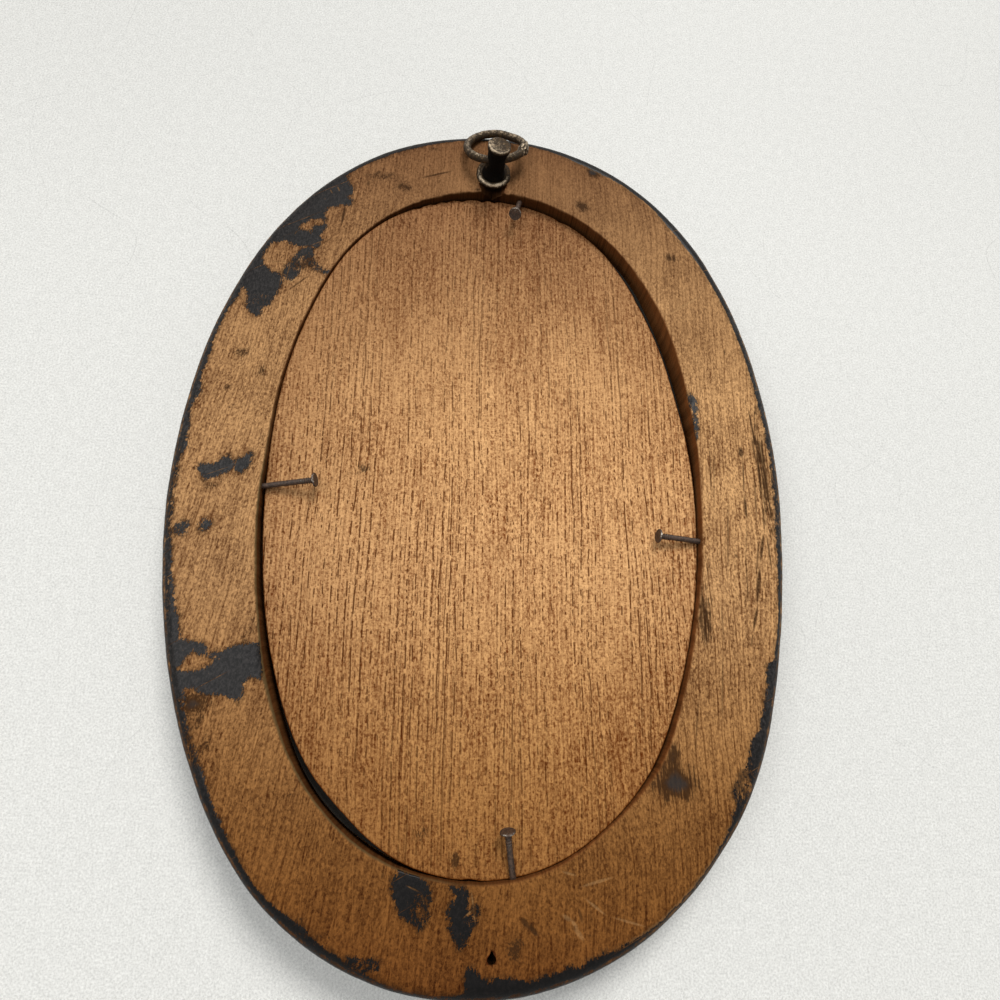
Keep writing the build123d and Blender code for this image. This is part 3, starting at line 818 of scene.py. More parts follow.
def pore_mask(surface, grain_place, pitch, share, fill):
    """Open pores: thin dashes along the grain, 1 inside a pore; so large a share of the cells has one."""
    values = {"Vector": surface.stretched(grain_place, (1 / pitch[0], 1 / pitch[1], 0)), "Scale": 1.0}
    cell = surface.node("ShaderNodeTexVoronoi", {"voronoi_dimensions": "2D"}, values, "Distance")
    chance = surface.node("ShaderNodeTexVoronoi", {"voronoi_dimensions": "2D"}, values, "Color")
    here = surface.step(share - surface.split(chance)[0], -0.02, 0.02)
    return (1 - surface.step(cell, fill * 0.5, fill)) * here


def grain_lines(surface, grain_place, pitch, width, length, level):
    """Broken lines along the grain, a pitch apart, 1 on a line; more of them show at a higher level."""
    x, y, _ = surface.split(grain_place)
    across = x * (1 / pitch)
    lane = surface.math("FLOOR", across, 0)
    wander = surface.noise(surface.joined(lane * 3.7, y * 0.05, 0), 2.0) - 0.5
    broken = surface.noise(surface.joined(lane * 7.3, y * (1 / length), 0), 2.0, 0.6)
    lasting = surface.noise(surface.joined(lane * 5.1, y * (0.2 / length), 0), 1.0)
    away = surface.math("ABSOLUTE", across - lane - 0.5 + wander * 0.8, 0)
    shown = surface.step(level - broken, -0.03, 0.04)
    shown = surface.highest(shown, surface.step(lasting, 0.48, 0.62) * 0.35)
    return (1 - surface.step(away, width * 0.4 / pitch, width / pitch)) * shown


def hairlines(surface, place, turn, spread, width, share):
    """Long fine scratches in one direction, 1 on a line."""
    x, y, _ = surface.split(place)
    along = x * cos(turn) + y * sin(turn)
    aside = y * cos(turn) - x * sin(turn)
    bend = surface.noise(surface.joined(along * 0.012 + turn, aside * 0.004, 0), 1.0)
    waves = surface.math("PINGPONG", aside * spread + bend * 3, 0.5)
    here = surface.noise(surface.joined(along * 0.03, aside * spread * 0.9 + turn * 7, 0), 2.0)
    return (1 - surface.step(waves, 0, width * spread)) * surface.step(here, 0.72 - share, 0.80 - share)


def scratch_mask(surface, place, scratch, height):
    """A thin straight scratch, 1 on its line."""
    start_x, start_y, end_x, end_y, half_width, lightness = scratch
    start, end = photo_spot(start_x, start_y, height), photo_spot(end_x, end_y, height)
    middle, way = (start + end) / 2, end - start
    values = {
        "Vector": place,
        "Location": (middle[0], middle[1], height),
        "Rotation": (0, 0, atan2(way[1], way[0])),
        "Scale": (np.linalg.norm(way) / 2, half_width, 6.0),
    }
    local = surface.node("ShaderNodeMapping", {"vector_type": "TEXTURE"}, values)
    line = surface.node("ShaderNodeTexGradient", {"gradient_type": "SPHERICAL"}, {"Vector": local}, "Fac")
    return surface.step(line, 0.0, 0.6) * abs(lightness)


def rail_finish(colours, sizes):
    """Bare wood on the back, with black paint on the front and the edge that has run and worn."""
    surface = Surface("worn_black_rail")
    top = sizes.rail_thickness / MM
    place = surface.millimetres()
    x, y, z = surface.split(place)
    slant = (1 - surface.step(x, -60.0, 30.0)) * 0.12 + 0.01
    sway = surface.spread(place, (0.03, 0.014), 1.0) - 0.5
    grain = surface.joined(x - slant * y + sway * 7, y, z)
    bands = surface.spread(grain, (0.20, 0.010), 3.0)
    streaks = surface.spread(grain, (1.6, 0.06), 3.0, 0.6)
    fibres = surface.spread(grain, (2.9, 1.1), 2.0, 0.7)
    speckle = surface.spread(place, (1.3, 1.3), 4.0, 0.9)
    flecks = surface.cells(grain, (2.4, 1.1))
    clouds = surface.spread(place, (0.05, 0.05), 3.0)
    right = surface.step(x, 10.0, 55.0)
    veins = grain_lines(surface, grain, 2.3, 0.24, 7.0, bands * 0.4 + right * 0.12 + 0.20)
    dashes = grain_lines(surface, grain, 1.3, 0.24, 1.8, bands * 0.5 + 0.15)
    far_left = 1 - surface.step(x, -72.0, -30.0)
    # Painted light: the grain is given less contrast towards the top, away from the left side
    calm = surface.step(y, 15.0, 60.0) * surface.step(x, -50.0, 0.0)
    contrast = 0.78 + far_left * 0.14 + right * 0.24 * surface.step(y, -90.0, -30.0) - calm * 0.35

    names = ("paint", "smudge", "across", "rubbed", "worn", "ragged")
    paint, smudge, across, rubbed, worn, ragged = (surface.attribute(name) for name in names)

    tint = surface.swing((fibres, 1.6), (speckle, 3.2), (flecks, 0.8), (streaks, 1.8)) * contrast
    tint = tint + surface.swing((clouds, 0.9), (bands, 0.5))
    wood = surface.blend(colours.rail_dark, colours.rail_light, surface.step(tint, -1.35, 1.35))
    wood = surface.blend(wood, colours.pore, surface.highest(dashes * 0.36, veins * 0.55) * (1 - calm * 0.4))
    lights = surface.highest(
        hairlines(surface, place, 1.28, 0.35, 0.14, 0.32), hairlines(surface, place, 1.60, 0.24, 0.13, 0.28)
    )
    low = 1 - surface.step(y, -122.0, -45.0)
    left = 1 - surface.step(x, -30.0, 60.0)
    wood = surface.blend(wood, colours.rail_light, lights * (low * left * 0.5 + 0.12))
    # Painted shade: the wood darkens away from the middle, where less light falls (the number glow)
    wood = surface.blend(wood, colours.deep, 1 - surface.attribute("glow"), "MULTIPLY")
    # Darker and yellower towards the bottom: partly dirt, partly painted shade where less light falls
    wood = surface.blend(wood, (0.95, 0.80, 0.42), (1 - surface.step(y, -120.0, -20.0)) * 0.9, "MULTIPLY")

    streaky = surface.spread(grain, (1.8, 0.12), 3.0, 0.7)
    grit = surface.spread(grain, (2.6, 1.1), 3.0, 0.75) * (1 - right) + streaky * right
    patchy = surface.spread(place, (0.35, 0.35), 4.0, 0.65)
    smear = smudge + surface.swing((grit, 1.8), (patchy, 1.0))
    grimy = surface.blend(colours.stain, colours.paint, surface.step(patchy * 0.3 + smudge, 0.90, 1.15))
    wood = surface.blend(wood, grimy, surface.step(smear, 0.38, 0.72) * 0.9)
    wood = surface.blend(wood, grimy, surface.step(smudge, 0.1, 1.1) * 0.5)

    dark = light = None
    for scratch in SCRATCHES:
        mask = scratch_mask(surface, place, scratch, top)
        if scratch[-1] > 0:
            light = surface.highest(light, mask)
        else:
            dark = surface.highest(dark, mask)
    uneven = surface.step(speckle, 0.35, 0.60) * 0.4 + 0.6
    wood = surface.blend(wood, colours.stain, dark * uneven)
    wood = surface.blend(wood, tone(196, 156, 106), light * uneven * 0.48)

    cut_side = (1 - surface.step(across, 0.0, 0.6)) * surface.step(z, sizes.shelf_height / MM - 0.4, top - 8)
    old_cut = surface.times(colours.wall, streaks * 1.6 + 0.2)
    # Painted light and shade on the rebate wall: lighter along the right side, darker at the top end
    old_cut = surface.times(old_cut, surface.step(x, -10.0, 30.0) * 0.8 + 1.0)
    old_cut = surface.times(old_cut, 1 - surface.step(y, 60.0, 95.0) * 0.35)
    # Light and shadow that the lamps don't give are held in the colour: the wall's lit top at the lower left,
    # and the dark nail hole and chip
    lit_left = (1 - surface.step(x, -40.0, 10.0)) * surface.step(z, top - 1.9, top - 0.9)
    lit_left = lit_left * (1 - surface.step(y, -10.0, 35.0))
    old_cut = surface.blend(old_cut, tone(104, 88, 58), lit_left * 0.85)
    wood = surface.blend(wood, old_cut, cut_side * 0.95)
    # Painted shade: the inside of the old nail hole is nearly black
    hole_x, hole_y = photo_spot(*NAIL_HOLE, top)
    aside, along = x - hole_x, y - hole_y
    sunk = 1 - surface.step(aside * aside + along * along, 3.0, 4.0)
    sunk = sunk * (1 - surface.step(z, top - 0.5, top - 0.1))
    wood = surface.times(wood, 1 - sunk * 0.94)
    # Painted shade: the splintered chip is darker inside
    beyond = y - (sizes.rebate_half_length / MM + CHIP_MIDDLE)
    burst = 1 - surface.step(x * x + beyond * beyond, 6.0, 14.0)
    burst = burst * (1 - surface.step(z, top - 0.7, top - 0.15))
    wood = surface.times(wood, 1 - burst * 0.65)

    coarse = surface.lumps(place, 0.30, 5.0)
    fine = surface.spread(grain, (2.1, 0.9), 4.0, 0.75)
    edge = paint + surface.swing((coarse, 4.2), (fine, 4.6)) * ragged
    thin = surface.step(edge, -1.5, 0.4)
    wood = surface.blend(wood, colours.stain, thin * surface.step(patchy, 0.38, 0.58) * 0.85)
    brink = surface.step(edge, -0.7, -0.1) * (1 - ragged) * right
    wood = surface.blend(wood, colours.rail_light, brink * 0.18)
    cover = surface.step(edge, -0.05, 0.2)
    specks = surface.noise(surface.stretched(grain, (1.5, 0.8, 1.5)), 4.0, 0.8, "3D")
    flaked = surface.step(specks + worn * 0.33, 0.69, 0.76)
    nicks = hairlines(surface, place, 0.5, 0.30, 0.12, 0.12) * surface.step(z, top - 3.0, top - 1.0)
    cover = cover * (1 - surface.highest(flaked, nicks, light) * 0.9)
    scuffs = surface.step(coarse + fine * 0.6 + rubbed * 0.35, 0.98, 1.12) * rubbed
    cover = cover * (1 - scuffs * 0.9)
    dusty = surface.lumps(place, 1.3, 5.0, 0.75)
    sparks = surface.step(specks, 0.44, 0.62) * 1.2 + surface.step(dusty, 0.44, 0.62) * 0.6 + 0.28
    far = surface.step(y, 30.0, 90.0) * surface.step(x, -10.0, 30.0)
    # Painted shade: the black darkens towards the bottom and away from the middle, where less light falls
    black = surface.times(colours.paint, sparks * (1 - low * 0.65) * (1 - far * 0.5))
    black = surface.blend(black, colours.deep, (1 - surface.attribute("glow")) * 0.9, "MULTIPLY")
    colour = surface.blend(wood, black, cover)

    roughness = 0.62 * (1 - cover) + cover * (0.34 + dusty * 0.3)
    relief = (fibres - 0.5) * 0.5 - dashes * 0.5 - veins * 0.8
    relief = relief * (1 - cover * 0.8) + cover * (0.4 + dusty * 1.0) - dark * 1.5 - light * 0.8
    return surface.finish(
        Base_Color=colour,
        Roughness=roughness,
        Normal=surface.bump(relief, 0.00010),
        Specular_IOR_Level=0.03,
        Coat_Weight=cover * 0.22,
        Coat_Roughness=0.32,
    )


def board_finish(colours):
    """Raw open-pored wood with straight grain along the board."""
    surface = Surface("raw_board")
    place = surface.millimetres()
    x, y, _ = surface.split(place)
    sway = surface.spread(place, (0.035, 0.010), 1.0) - 0.5
    grain = surface.joined(x + y * 0.012 + sway * 4, y, 0)
    bands = surface.spread(grain, (0.13, 0.006), 3.0)
    streaks = surface.spread(grain, (1.5, 0.05), 3.0, 0.6)
    fibres = surface.spread(grain, (2.8, 0.5), 2.0, 0.7)
    speckle = surface.spread(place, (1.3, 1.3), 4.0, 0.9)
    flecks = surface.cells(grain, (2.4, 1.3))
    ripple = surface.spread(grain, (0.6, 2.4), 2.0, 0.6)
    clouds = surface.spread(place, (0.03, 0.02))
    # Painted light: the grain is given less contrast towards the top
    calm = surface.step(y, 0.0, 55.0)
    lines = grain_lines(surface, grain, 2.2, 0.25, 3.5, bands * 0.7 + 0.11)
    thin_lines = grain_lines(surface, grain, 1.25, 0.20, 2.0, bands * 0.6 + 0.12)
    shifted = surface.joined(x + sway * 4, y + 40, 0)
    strands = grain_lines(surface, shifted, 1.0, 0.30, 4.0, clouds * 0.4 + 0.30)
    pores = pore_mask(surface, grain, (0.60, 1.8), bands * 0.5, 0.28)

    tint = surface.swing((fibres, 1.4), (speckle, 4.0), (flecks, 0.9), (streaks, 2.0)) * (0.92 - calm * 0.20)
    tint = tint + surface.swing((clouds, 0.5), (bands, 0.4))
    wood = surface.blend(colours.board_dark, colours.board_light, surface.step(tint, -1.25, 1.25))
    fleck = surface.step(ripple, 0.52, 0.64) * surface.step(clouds, 0.42, 0.58)
    wood = surface.blend(wood, colours.board_light, surface.highest(fleck * 0.45, strands * 0.35))
    foot = 1 - surface.step(y, -95.0, -35.0)
    dark = surface.highest(lines, thin_lines * 0.75, pores * 0.3)
    dark = dark * (0.88 - calm * 0.33 - foot * 0.38)
    wood = surface.blend(wood, colours.pore, dark)
    # Painted shade: the wood darkens away from the middle, where less light falls (the number glow)
    wood = surface.blend(wood, colours.deep, 1 - surface.attribute("glow"), "MULTIPLY")
    # Darker and yellower towards the bottom: partly dirt, partly painted shade where less light falls
    wood = surface.blend(wood, (0.98, 0.86, 0.50), (1 - surface.step(y, -110.0, -15.0)) * 0.8, "MULTIPLY")
    grit = surface.spread(grain, (2.2, 0.9), 3.0, 0.7)
    smear = surface.attribute("smudge") + (grit - 0.5) * 1.5
    wood = surface.blend(wood, colours.stain, surface.step(smear, 0.35, 0.80) * 0.85)
    edge = surface.attribute("edge") + (grit - 0.5) * 0.7
    wood = surface.blend(wood, colours.pore, surface.step(edge, 0.35, 0.85) * 0.85)
    relief = (fibres - 0.5) * 0.9 - lines * 1.3 - thin_lines * 0.8 - pores * 0.6
    return surface.finish(
        Base_Color=wood, Roughness=0.6, Normal=surface.bump(relief, 0.00010), Specular_IOR_Level=0.03
    )


def hanger_finish(colours, name, rub_low, rub_high):
    """Blackened brass, rubbed bright where it stands out, with dirt and painted shade where it is sheltered.
    """
    surface = Surface(name)
    place = surface.millimetres()
    blotches = surface.lumps(place, 0.9)
    pits = surface.lumps(place, 2.6, 3.0, 0.65)
    wear = surface.attribute("rubbed") + surface.swing((blotches, 1.3), (pits, 1.1))
    wear = surface.step(wear, rub_low, rub_high)
    brown = tuple(a * b for a, b in zip(colours.metal_dark, (1.9, 1.6, 1.1)))
    dark = surface.blend(colours.metal_dark, brown, surface.step(blotches, 0.46, 0.66))
    colour = surface.blend(dark, colours.metal_worn, wear)
    # Dirt and painted shade: dark where the hanger is sheltered
    grime = surface.attribute("grime")
    colour = surface.times(colour, 1 - grime * 0.94)
    return surface.finish(
        Base_Color=colour,
        Metallic=(wear * 0.4 + 0.35) * (1 - grime * 0.8),
        Roughness=0.50 - wear * 0.16 + (pits - 0.5) * 0.3 + grime * 0.25,
        Normal=surface.bump(blotches * 0.8 + pits * 0.9, 0.00025),
        Specular_IOR_Level=0.06,
    )


def brad_finish(colours):
    """Rusted wire, bare steel along its upper side: partly wear, partly a painted highlight."""
    surface = Surface("rusted_wire")
    place = surface.millimetres()
    scale = surface.lumps(place, 1.4, 4.0, 0.7)
    pits = surface.lumps(place, 4.0, 2.0, 0.5)
    wear = surface.step(surface.attribute("rubbed") + (scale - 0.5) * 1.8, 0.52, 0.90)
    dark = surface.times(colours.rust, 1.2 - surface.step(scale, 0.42, 0.60) * 0.8)
    return surface.finish(
        Base_Color=surface.blend(dark, colours.steel, wear),
        Metallic=wear * 0.7 + 0.2,
        Roughness=0.55 - wear * 0.25,
        Normal=surface.bump(scale * 0.8 + pits * 0.5, 0.00014),
    )


def paper_finish(colours):
    """A bare cream sheet with faint fibres and age spots."""
    surface = Surface("bare_paper")
    place = surface.millimetres()
    fibres = surface.spread(place, (1.5, 1.5), 5.0, 0.7)
    age = surface.spread(place, (0.03, 0.03), 3.0)
    spots = surface.step(surface.spread(place, (0.25, 0.25), 3.0, 0.6), 0.66, 0.74)
    warm = tuple(a * b for a, b in zip(colours.paper, (0.90, 0.80, 0.62)))
    aged = surface.step(age + fibres * 0.2, 0.45, 0.85) * 0.6 + spots * 0.35
    colour = surface.blend(colours.paper, warm, aged)
    return surface.finish(Base_Color=colour, Roughness=0.85, Normal=surface.bump(fibres, 0.00004))


def card_finish(colours):
    """Grey card with coarse fibres, in painted shade nearly black where the gap round the board shows it."""
    surface = Surface("grey_card")
    fibres = surface.spread(surface.millimetres(), (0.9, 0.9), 5.0, 0.75)
    x, y, _ = surface.split(surface.millimetres())
    _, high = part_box("mount_card")
    across, along = x * (MM / high.x), y * (MM / high.y)
    # Painted shade: nearly black near the edge, where the gap round the board is deep
    painted_gap_shade = surface.step(across * across + along * along, 0.72, 0.90)
    colour = surface.times(colours.card, (surface.step(fibres, 0.30, 0.65) * 0.4 + 0.6) * (1 - painted_gap_shade * 0.93))
    return surface.finish(Base_Color=colour, Roughness=0.9, Normal=surface.bump(fibres, 0.00006))


def glass_finish():
    """Old clear glass with a little haze."""
    surface = Surface("old_glass")
    haze = surface.spread(surface.millimetres(), (0.05, 0.05), 4.0)
    return surface.finish(
        Base_Color=(0.95, 0.98, 0.96),
        Roughness=surface.step(haze, 0.45, 0.9) * 0.08 + 0.01,
        Transmission_Weight=1.0,
        IOR=1.5,
    )


def table_finish(colours):
    """A pale laminate table with hairline scratches."""
    surface = Surface("table_top")
    place = surface.millimetres()
    _, y, _ = surface.split(place)
    grain = surface.spread(place, (1.7, 1.7), 3.0, 0.8)
    mottle = surface.spread(place, (0.35, 0.35), 2.0)
    lines = hairlines(surface, place, 0.35, 0.022, 0.16, 0.18)
    for turn, spread in ((-1.1, 0.017), (1.9, 0.026), (1.35, 0.020)):
        lines = surface.highest(lines, hairlines(surface, place, turn, spread, 0.16, 0.18))
    shade = 0.99 - lines * 0.16 - surface.swing((grain, 0.95), (mottle, 0.12))
    # Painted shade: the far end of the table is darker, where less light reaches it
    shade = shade - surface.step(y, 60.0, 190.0) * 0.05
    colour = surface.times(colours.table, shade)
    return surface.finish(Base_Color=colour, Roughness=0.55, Specular_IOR_Level=0.3)


class OVALFRAME_OT_stage(Operator):
    """Sets up the table, the light and the camera of the photograph"""

    bl_idname = "oval_frame.stage"
    bl_label = "Table, light and camera"

    def execute(self, context):
        colours = context.scene.oval_frame_finishes
        mesh = bpy.data.meshes.new("table")
        reach, drop = 1.6, -0.00005
        corners = [(-reach, -reach, drop), (reach, -reach, drop), (reach, reach, drop), (-reach, reach, drop)]
        mesh.from_pydata(corners, [], [(0, 1, 2, 3)])
        table = bpy.data.objects.new("table", mesh)
        context.collection.objects.link(table)
        mesh.materials.append(table_finish(colours))

        for lamp in LAMPS:
            self.lamp(*lamp)
        self.sky(context)
        self.camera(context)
        context.scene.view_settings.view_transform = "Standard"
        return {"FINISHED"}

    @staticmethod
    def lamp(name, way, spread, strength, tint):
        """A broad far lamp that shines from one way."""
        light = bpy.data.lights.new(name, "SUN")
        light.angle = radians(spread)
        light.energy = strength
        light.color = tint
        lamp = bpy.data.objects.new(name, light)
        lamp.location = way
        lamp.rotation_euler = (-Vector(way)).to_track_quat("-Z", "Y").to_euler()
        bpy.context.collection.objects.link(lamp)

    @staticmethod
    def sky(context):
        """Even light from all sides, which the camera sees as a pale room."""
        room = Surface("room", bpy.data.worlds.new("room"))
        rays = ("Is Camera Ray", "Is Glossy Ray", "Is Transmission Ray")
        shown = room.highest(*(room.node("ShaderNodeLightPath", output=ray) for ray in rays))
        lit = room.node("ShaderNodeBackground", None, {"Color": ROOM_LIGHT, "Strength": ROOM_STRENGTH})
        seen = room.node("ShaderNodeBackground", None, {"Color": ROOM_SEEN, "Strength": 1.0})
        mix = room.node("ShaderNodeMixShader", None, {0: shown, 1: lit, 2: seen})
        context.scene.world = room.end("ShaderNodeOutputWorld", mix)

    @staticmethod
    def camera(context):
        """The camera of the photograph."""
        data = bpy.data.cameras.new("photo_camera")
        data.sensor_width = SENSOR_WIDTH
        data.sensor_fit = "HORIZONTAL"
        data.lens = FOCAL_PIXELS * SENSOR_WIDTH / (2 * PHOTO_MIDDLE)
        data.clip_start = 0.01
        camera = bpy.data.objects.new("photo_camera", data)
        right = CAMERA_RIGHT.normalized()
        back = right.cross(CAMERA_UP).normalized()
        up = back.cross(right)
        turn = Matrix((right, up, back)).transposed()
        camera.matrix_world = Matrix.Translation(CAMERA_PLACE * MM) @ turn.to_4x4()
        context.collection.objects.link(camera)
        context.scene.camera = camera


class OVALFRAME_OT_rail(Operator):
    """Builds the worn wooden rail with its moulding, rebate, chip and old nail hole"""

    bl_idname = "oval_frame.rail"
    bl_label = "Rail"

    def execute(self, context):
        sizes = context.scene.oval_frame_rail
        material = rail_finish(context.scene.oval_frame_finishes, sizes)
        points, across, rows = rail_points(sizes)
        faces = loop_faces(rows, len(points) // rows, closed=True)
        numbers = rail_numbers(sizes, points, across)
        rail = mesh_piece(
            "worn_rail", points, faces, material, "frame", ["frame_rail"], numbers
        )
        cut(rail, [self.burst_chip(sizes), self.nail_hole(sizes)])
        return {"FINISHED"}

    @staticmethod
    def burst_chip(sizes):
        """The splintered wedge between the hanging stud and the rebate."""
        top = sizes.rail_thickness / MM
        wall = sizes.rebate_half_length / MM
        near = [(-3.1, 1), (-2.7, -0.9), (-1.5, -2.3), (-0.2, -4.4), (1.3, -2.6), (2.3, -1.1), (2.9, 1)]
        points = [(x, wall - 2, top + z) for x, z in near]
        far = [(-5.0, 3.6, 1), (-4.4, 3.4, -0.8), (-0.1, 3.2, -2.6), (4.2, 3.4, -0.9), (4.8, 3.6, 1)]
        points += [(x, wall + y, top + z) for x, y, z in far]
        faces = [(0, 1, 2, 3, 4, 5, 6), (0, 7, 8, 1), (1, 8, 9), (1, 9, 2), (2, 9, 3), (3, 9, 4), (4, 9, 5),
                 (5, 9, 10), (5, 10, 11, 6), (7, 11, 10, 9, 8), (0, 6, 11, 7)]
        # Its faces take some stain, and painted shade through a glow of 0.5
        numbers = {"paint": BARE, "smudge": 0.3, "across": 0, "glow": 0.5}
        return new_solid("burst_chip", points, faces, numbers)

    @staticmethod
    def nail_hole(sizes):
        """The torn hole of an old nail in the bottom of the rail."""
        top = sizes.rail_thickness / MM
        x, y = photo_spot(*NAIL_HOLE, top)
        outline = [(0.1, 1.9), (-0.45, 0.9), (-1.0, 0.2), (-1.05, -0.5), (-0.6, -1.05)]
        outline += [(0.1, -1.2), (0.8, -0.9), (1.15, -0.3), (1.0, 0.35), (0.5, 0.95)]
        rings = [(1.12, 1.0), (1.0, -0.5), (0.8, -3.2), (0.3, -5.0)]
        points = [(x + u * share, y + v * share, top + depth) for share, depth in rings for u, v in outline]
        count = len(outline)
        faces = loop_faces(len(rings), count)
        faces += [tuple(range(count)), tuple(range((len(rings) - 1) * count, len(rings) * count))]
        # Its inside takes stain, and painted shade through a glow of 0
        numbers = {"paint": BARE, "smudge": 1.0, "across": 0, "glow": 0.0}
        return new_solid("nail_hole", points, faces, numbers)


class OVALFRAME_OT_board(Operator):
    """Builds the backing board with its chipped edge"""

    bl_idname = "oval_frame.board"
    bl_label = "Backing board"

    def execute(self, context):
        rail = context.scene.oval_frame_rail
        sizes = context.scene.oval_frame_board
        low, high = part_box("backing_board")
        bottom, level = low.z / MM, high.z / MM
        wear = sizes.edge_wear / MM
        sections = rebate_sections(rail, 0, sizes.mesh_step / MM)
        # From the underside round the edge to the middle of the top: how far inside the edge, how far below
        # the top, which is None on the underside, and how dark
        rings = [(away, None, 1.0) for away in (60.0, 30.0, 12.0, 4.0, 0.0)]
        rings += [(0.0, -wear, 1.0), (wear * 0.3, -wear * 0.3, 0.9), (wear, 0.0, 0.55), (0.9, 0.0, 0.0)]
        rings += [(float(away), 0.0, 0.0) for away in np.linspace(2.0, 62.0, 44)]
        reach = rings[-1][0] + 0.6
        points, edges = [], []
        for away, drop, edge in rings:
            share = 1 - max(away - 0.9, 0.0) / reach
            for centre, radius, angle, distance, around in sections:
                way = Vector((cos(angle), sin(angle)))
                _, board_out, _, up = edge_reading(distance, around)
                spot = centre + (radius + board_out) * way
                rough = 0.05 * wobble(*spot, 8, 6) + 0.08 * wobble(*spot, 2, 0.9)
                chip = chip_size(spot, BOARD_CHIPS, level) * (0.4 if drop is None else 1.0)
                spot -= way * (min(away, 0.9) + max(rough, -0.08) + chip)
                warp = (up - level) * share**1.5
                height = bottom + max(warp, 0.0) if drop is None else level + warp + drop
                points.append((spot.x * share, spot.y * share, height))
                edges.append(edge)
        count = len(sections)
        faces = loop_faces(len(rings), count)
        last = (len(rings) - 1) * count
        points += [(0, 0, level), (0, 0, bottom)]
        edges += [0.0, 1.0]
        faces += [(last + i, last + (i + 1) % count, last + count) for i in range(count)]
        faces += [((i + 1) % count, i, last + count + 1) for i in range(count)]
        spots = np.array(points)[:, :2]
        numbers = {
            "smudge": smudge_strength(spots, BOARD_SMUDGES, level),
            "glow": glow(spots, (550, 495), 125, 98, level),
            "edge": edges,
        }
        material = board_finish(context.scene.oval_frame_finishes)
        mesh_piece("raw_board", points, faces, material, "frame", ["backing_board"], numbers)
        return {"FINISHED"}


class OVALFRAME_OT_brads(Operator):
    """Builds the four rusted brads that hold the board"""

    bl_idname = "oval_frame.brads"
    bl_label = "Brads"

    def execute(self, context):
        material = brad_finish(context.scene.oval_frame_finishes)
        for place, bend in (("left", 0.25), ("right", -0.15), ("top", 0.1), ("bottom", 0.2)):
            node = "brad_" + place
            points, faces = self.wire(*self.ends(node), bend)
            up = np.array(points)[:, 2]
            # The upper side is brighter: partly wear, partly a painted highlight
            rubbed = np.clip((up - np.median(up)) / 3.0, 0, 1)
            rubbed[np.linalg.norm(np.array(points) - self.ends(node)[1], axis=1) < 2.3] *= 0.6
            mesh_piece(
                "rusted_" + node, points, faces, material, "frame", [node], {"rubbed": rubbed}
            )
        return {"FINISHED"}

    @staticmethod
    def ends(node):
        """The point and the head of a brad's CAD node, in millimetres."""
        places = np.array([v.co for v in frame["nodes"][node].data.vertices]) / MM
        middle = places.mean(0)
        way = np.linalg.svd(places - middle, full_matrices=False)[2][0]
        along = (places - middle) @ way
        spread = np.linalg.norm(places - middle - along[:, None] * way, axis=1)
        if along[spread.argmax()] < 0:
            way, along = -way, -along
        head = places[along > along.max() - 0.01].mean(0)
        return head - way * (along.max() - along.min()), head

    @staticmethod
    def wire(point, head, bend):
        """A wire nail with grip ridges under a flat, slightly dished head."""
        way = Vector(head - point)
        span = way.length
        turn = way.to_track_quat("Z", "Y").to_matrix()
        profile = [(0, 0), (0.25, 0.8), (0.8, 2.6)]
        profile += [(0.8, height) for height in np.linspace(3.4, span - 4.2, 16)]
        for ridge in range(4):
            foot = span - 3.6 + ridge * 0.7
            profile += [(0.78, foot), (0.9, foot + 0.15), (0.9, foot + 0.3), (0.76, foot + 0.45)]
        profile += [(0.85, span - 0.75), (1.1, span - 0.6), (1.85, span - 0.6), (2.0, span - 0.48)]
        profile += [(2.0, span - 0.15), (1.9, span - 0.02), (1.3, span - 0.08), (0.6, span - 0.1)]
        profile.append((0, span - 0.1))
        points, faces = turned(profile, Matrix.Identity(4), 28, 0.10, 1.6)
        placed = []
        for p in points:
            share = p.z / span
            sag = Vector((bend * sin(pi * share), 0.4 * bend * sin(2 * pi * share), 0))
            placed.append(Vector(point) + turn @ (p + sag))
        return placed, faces


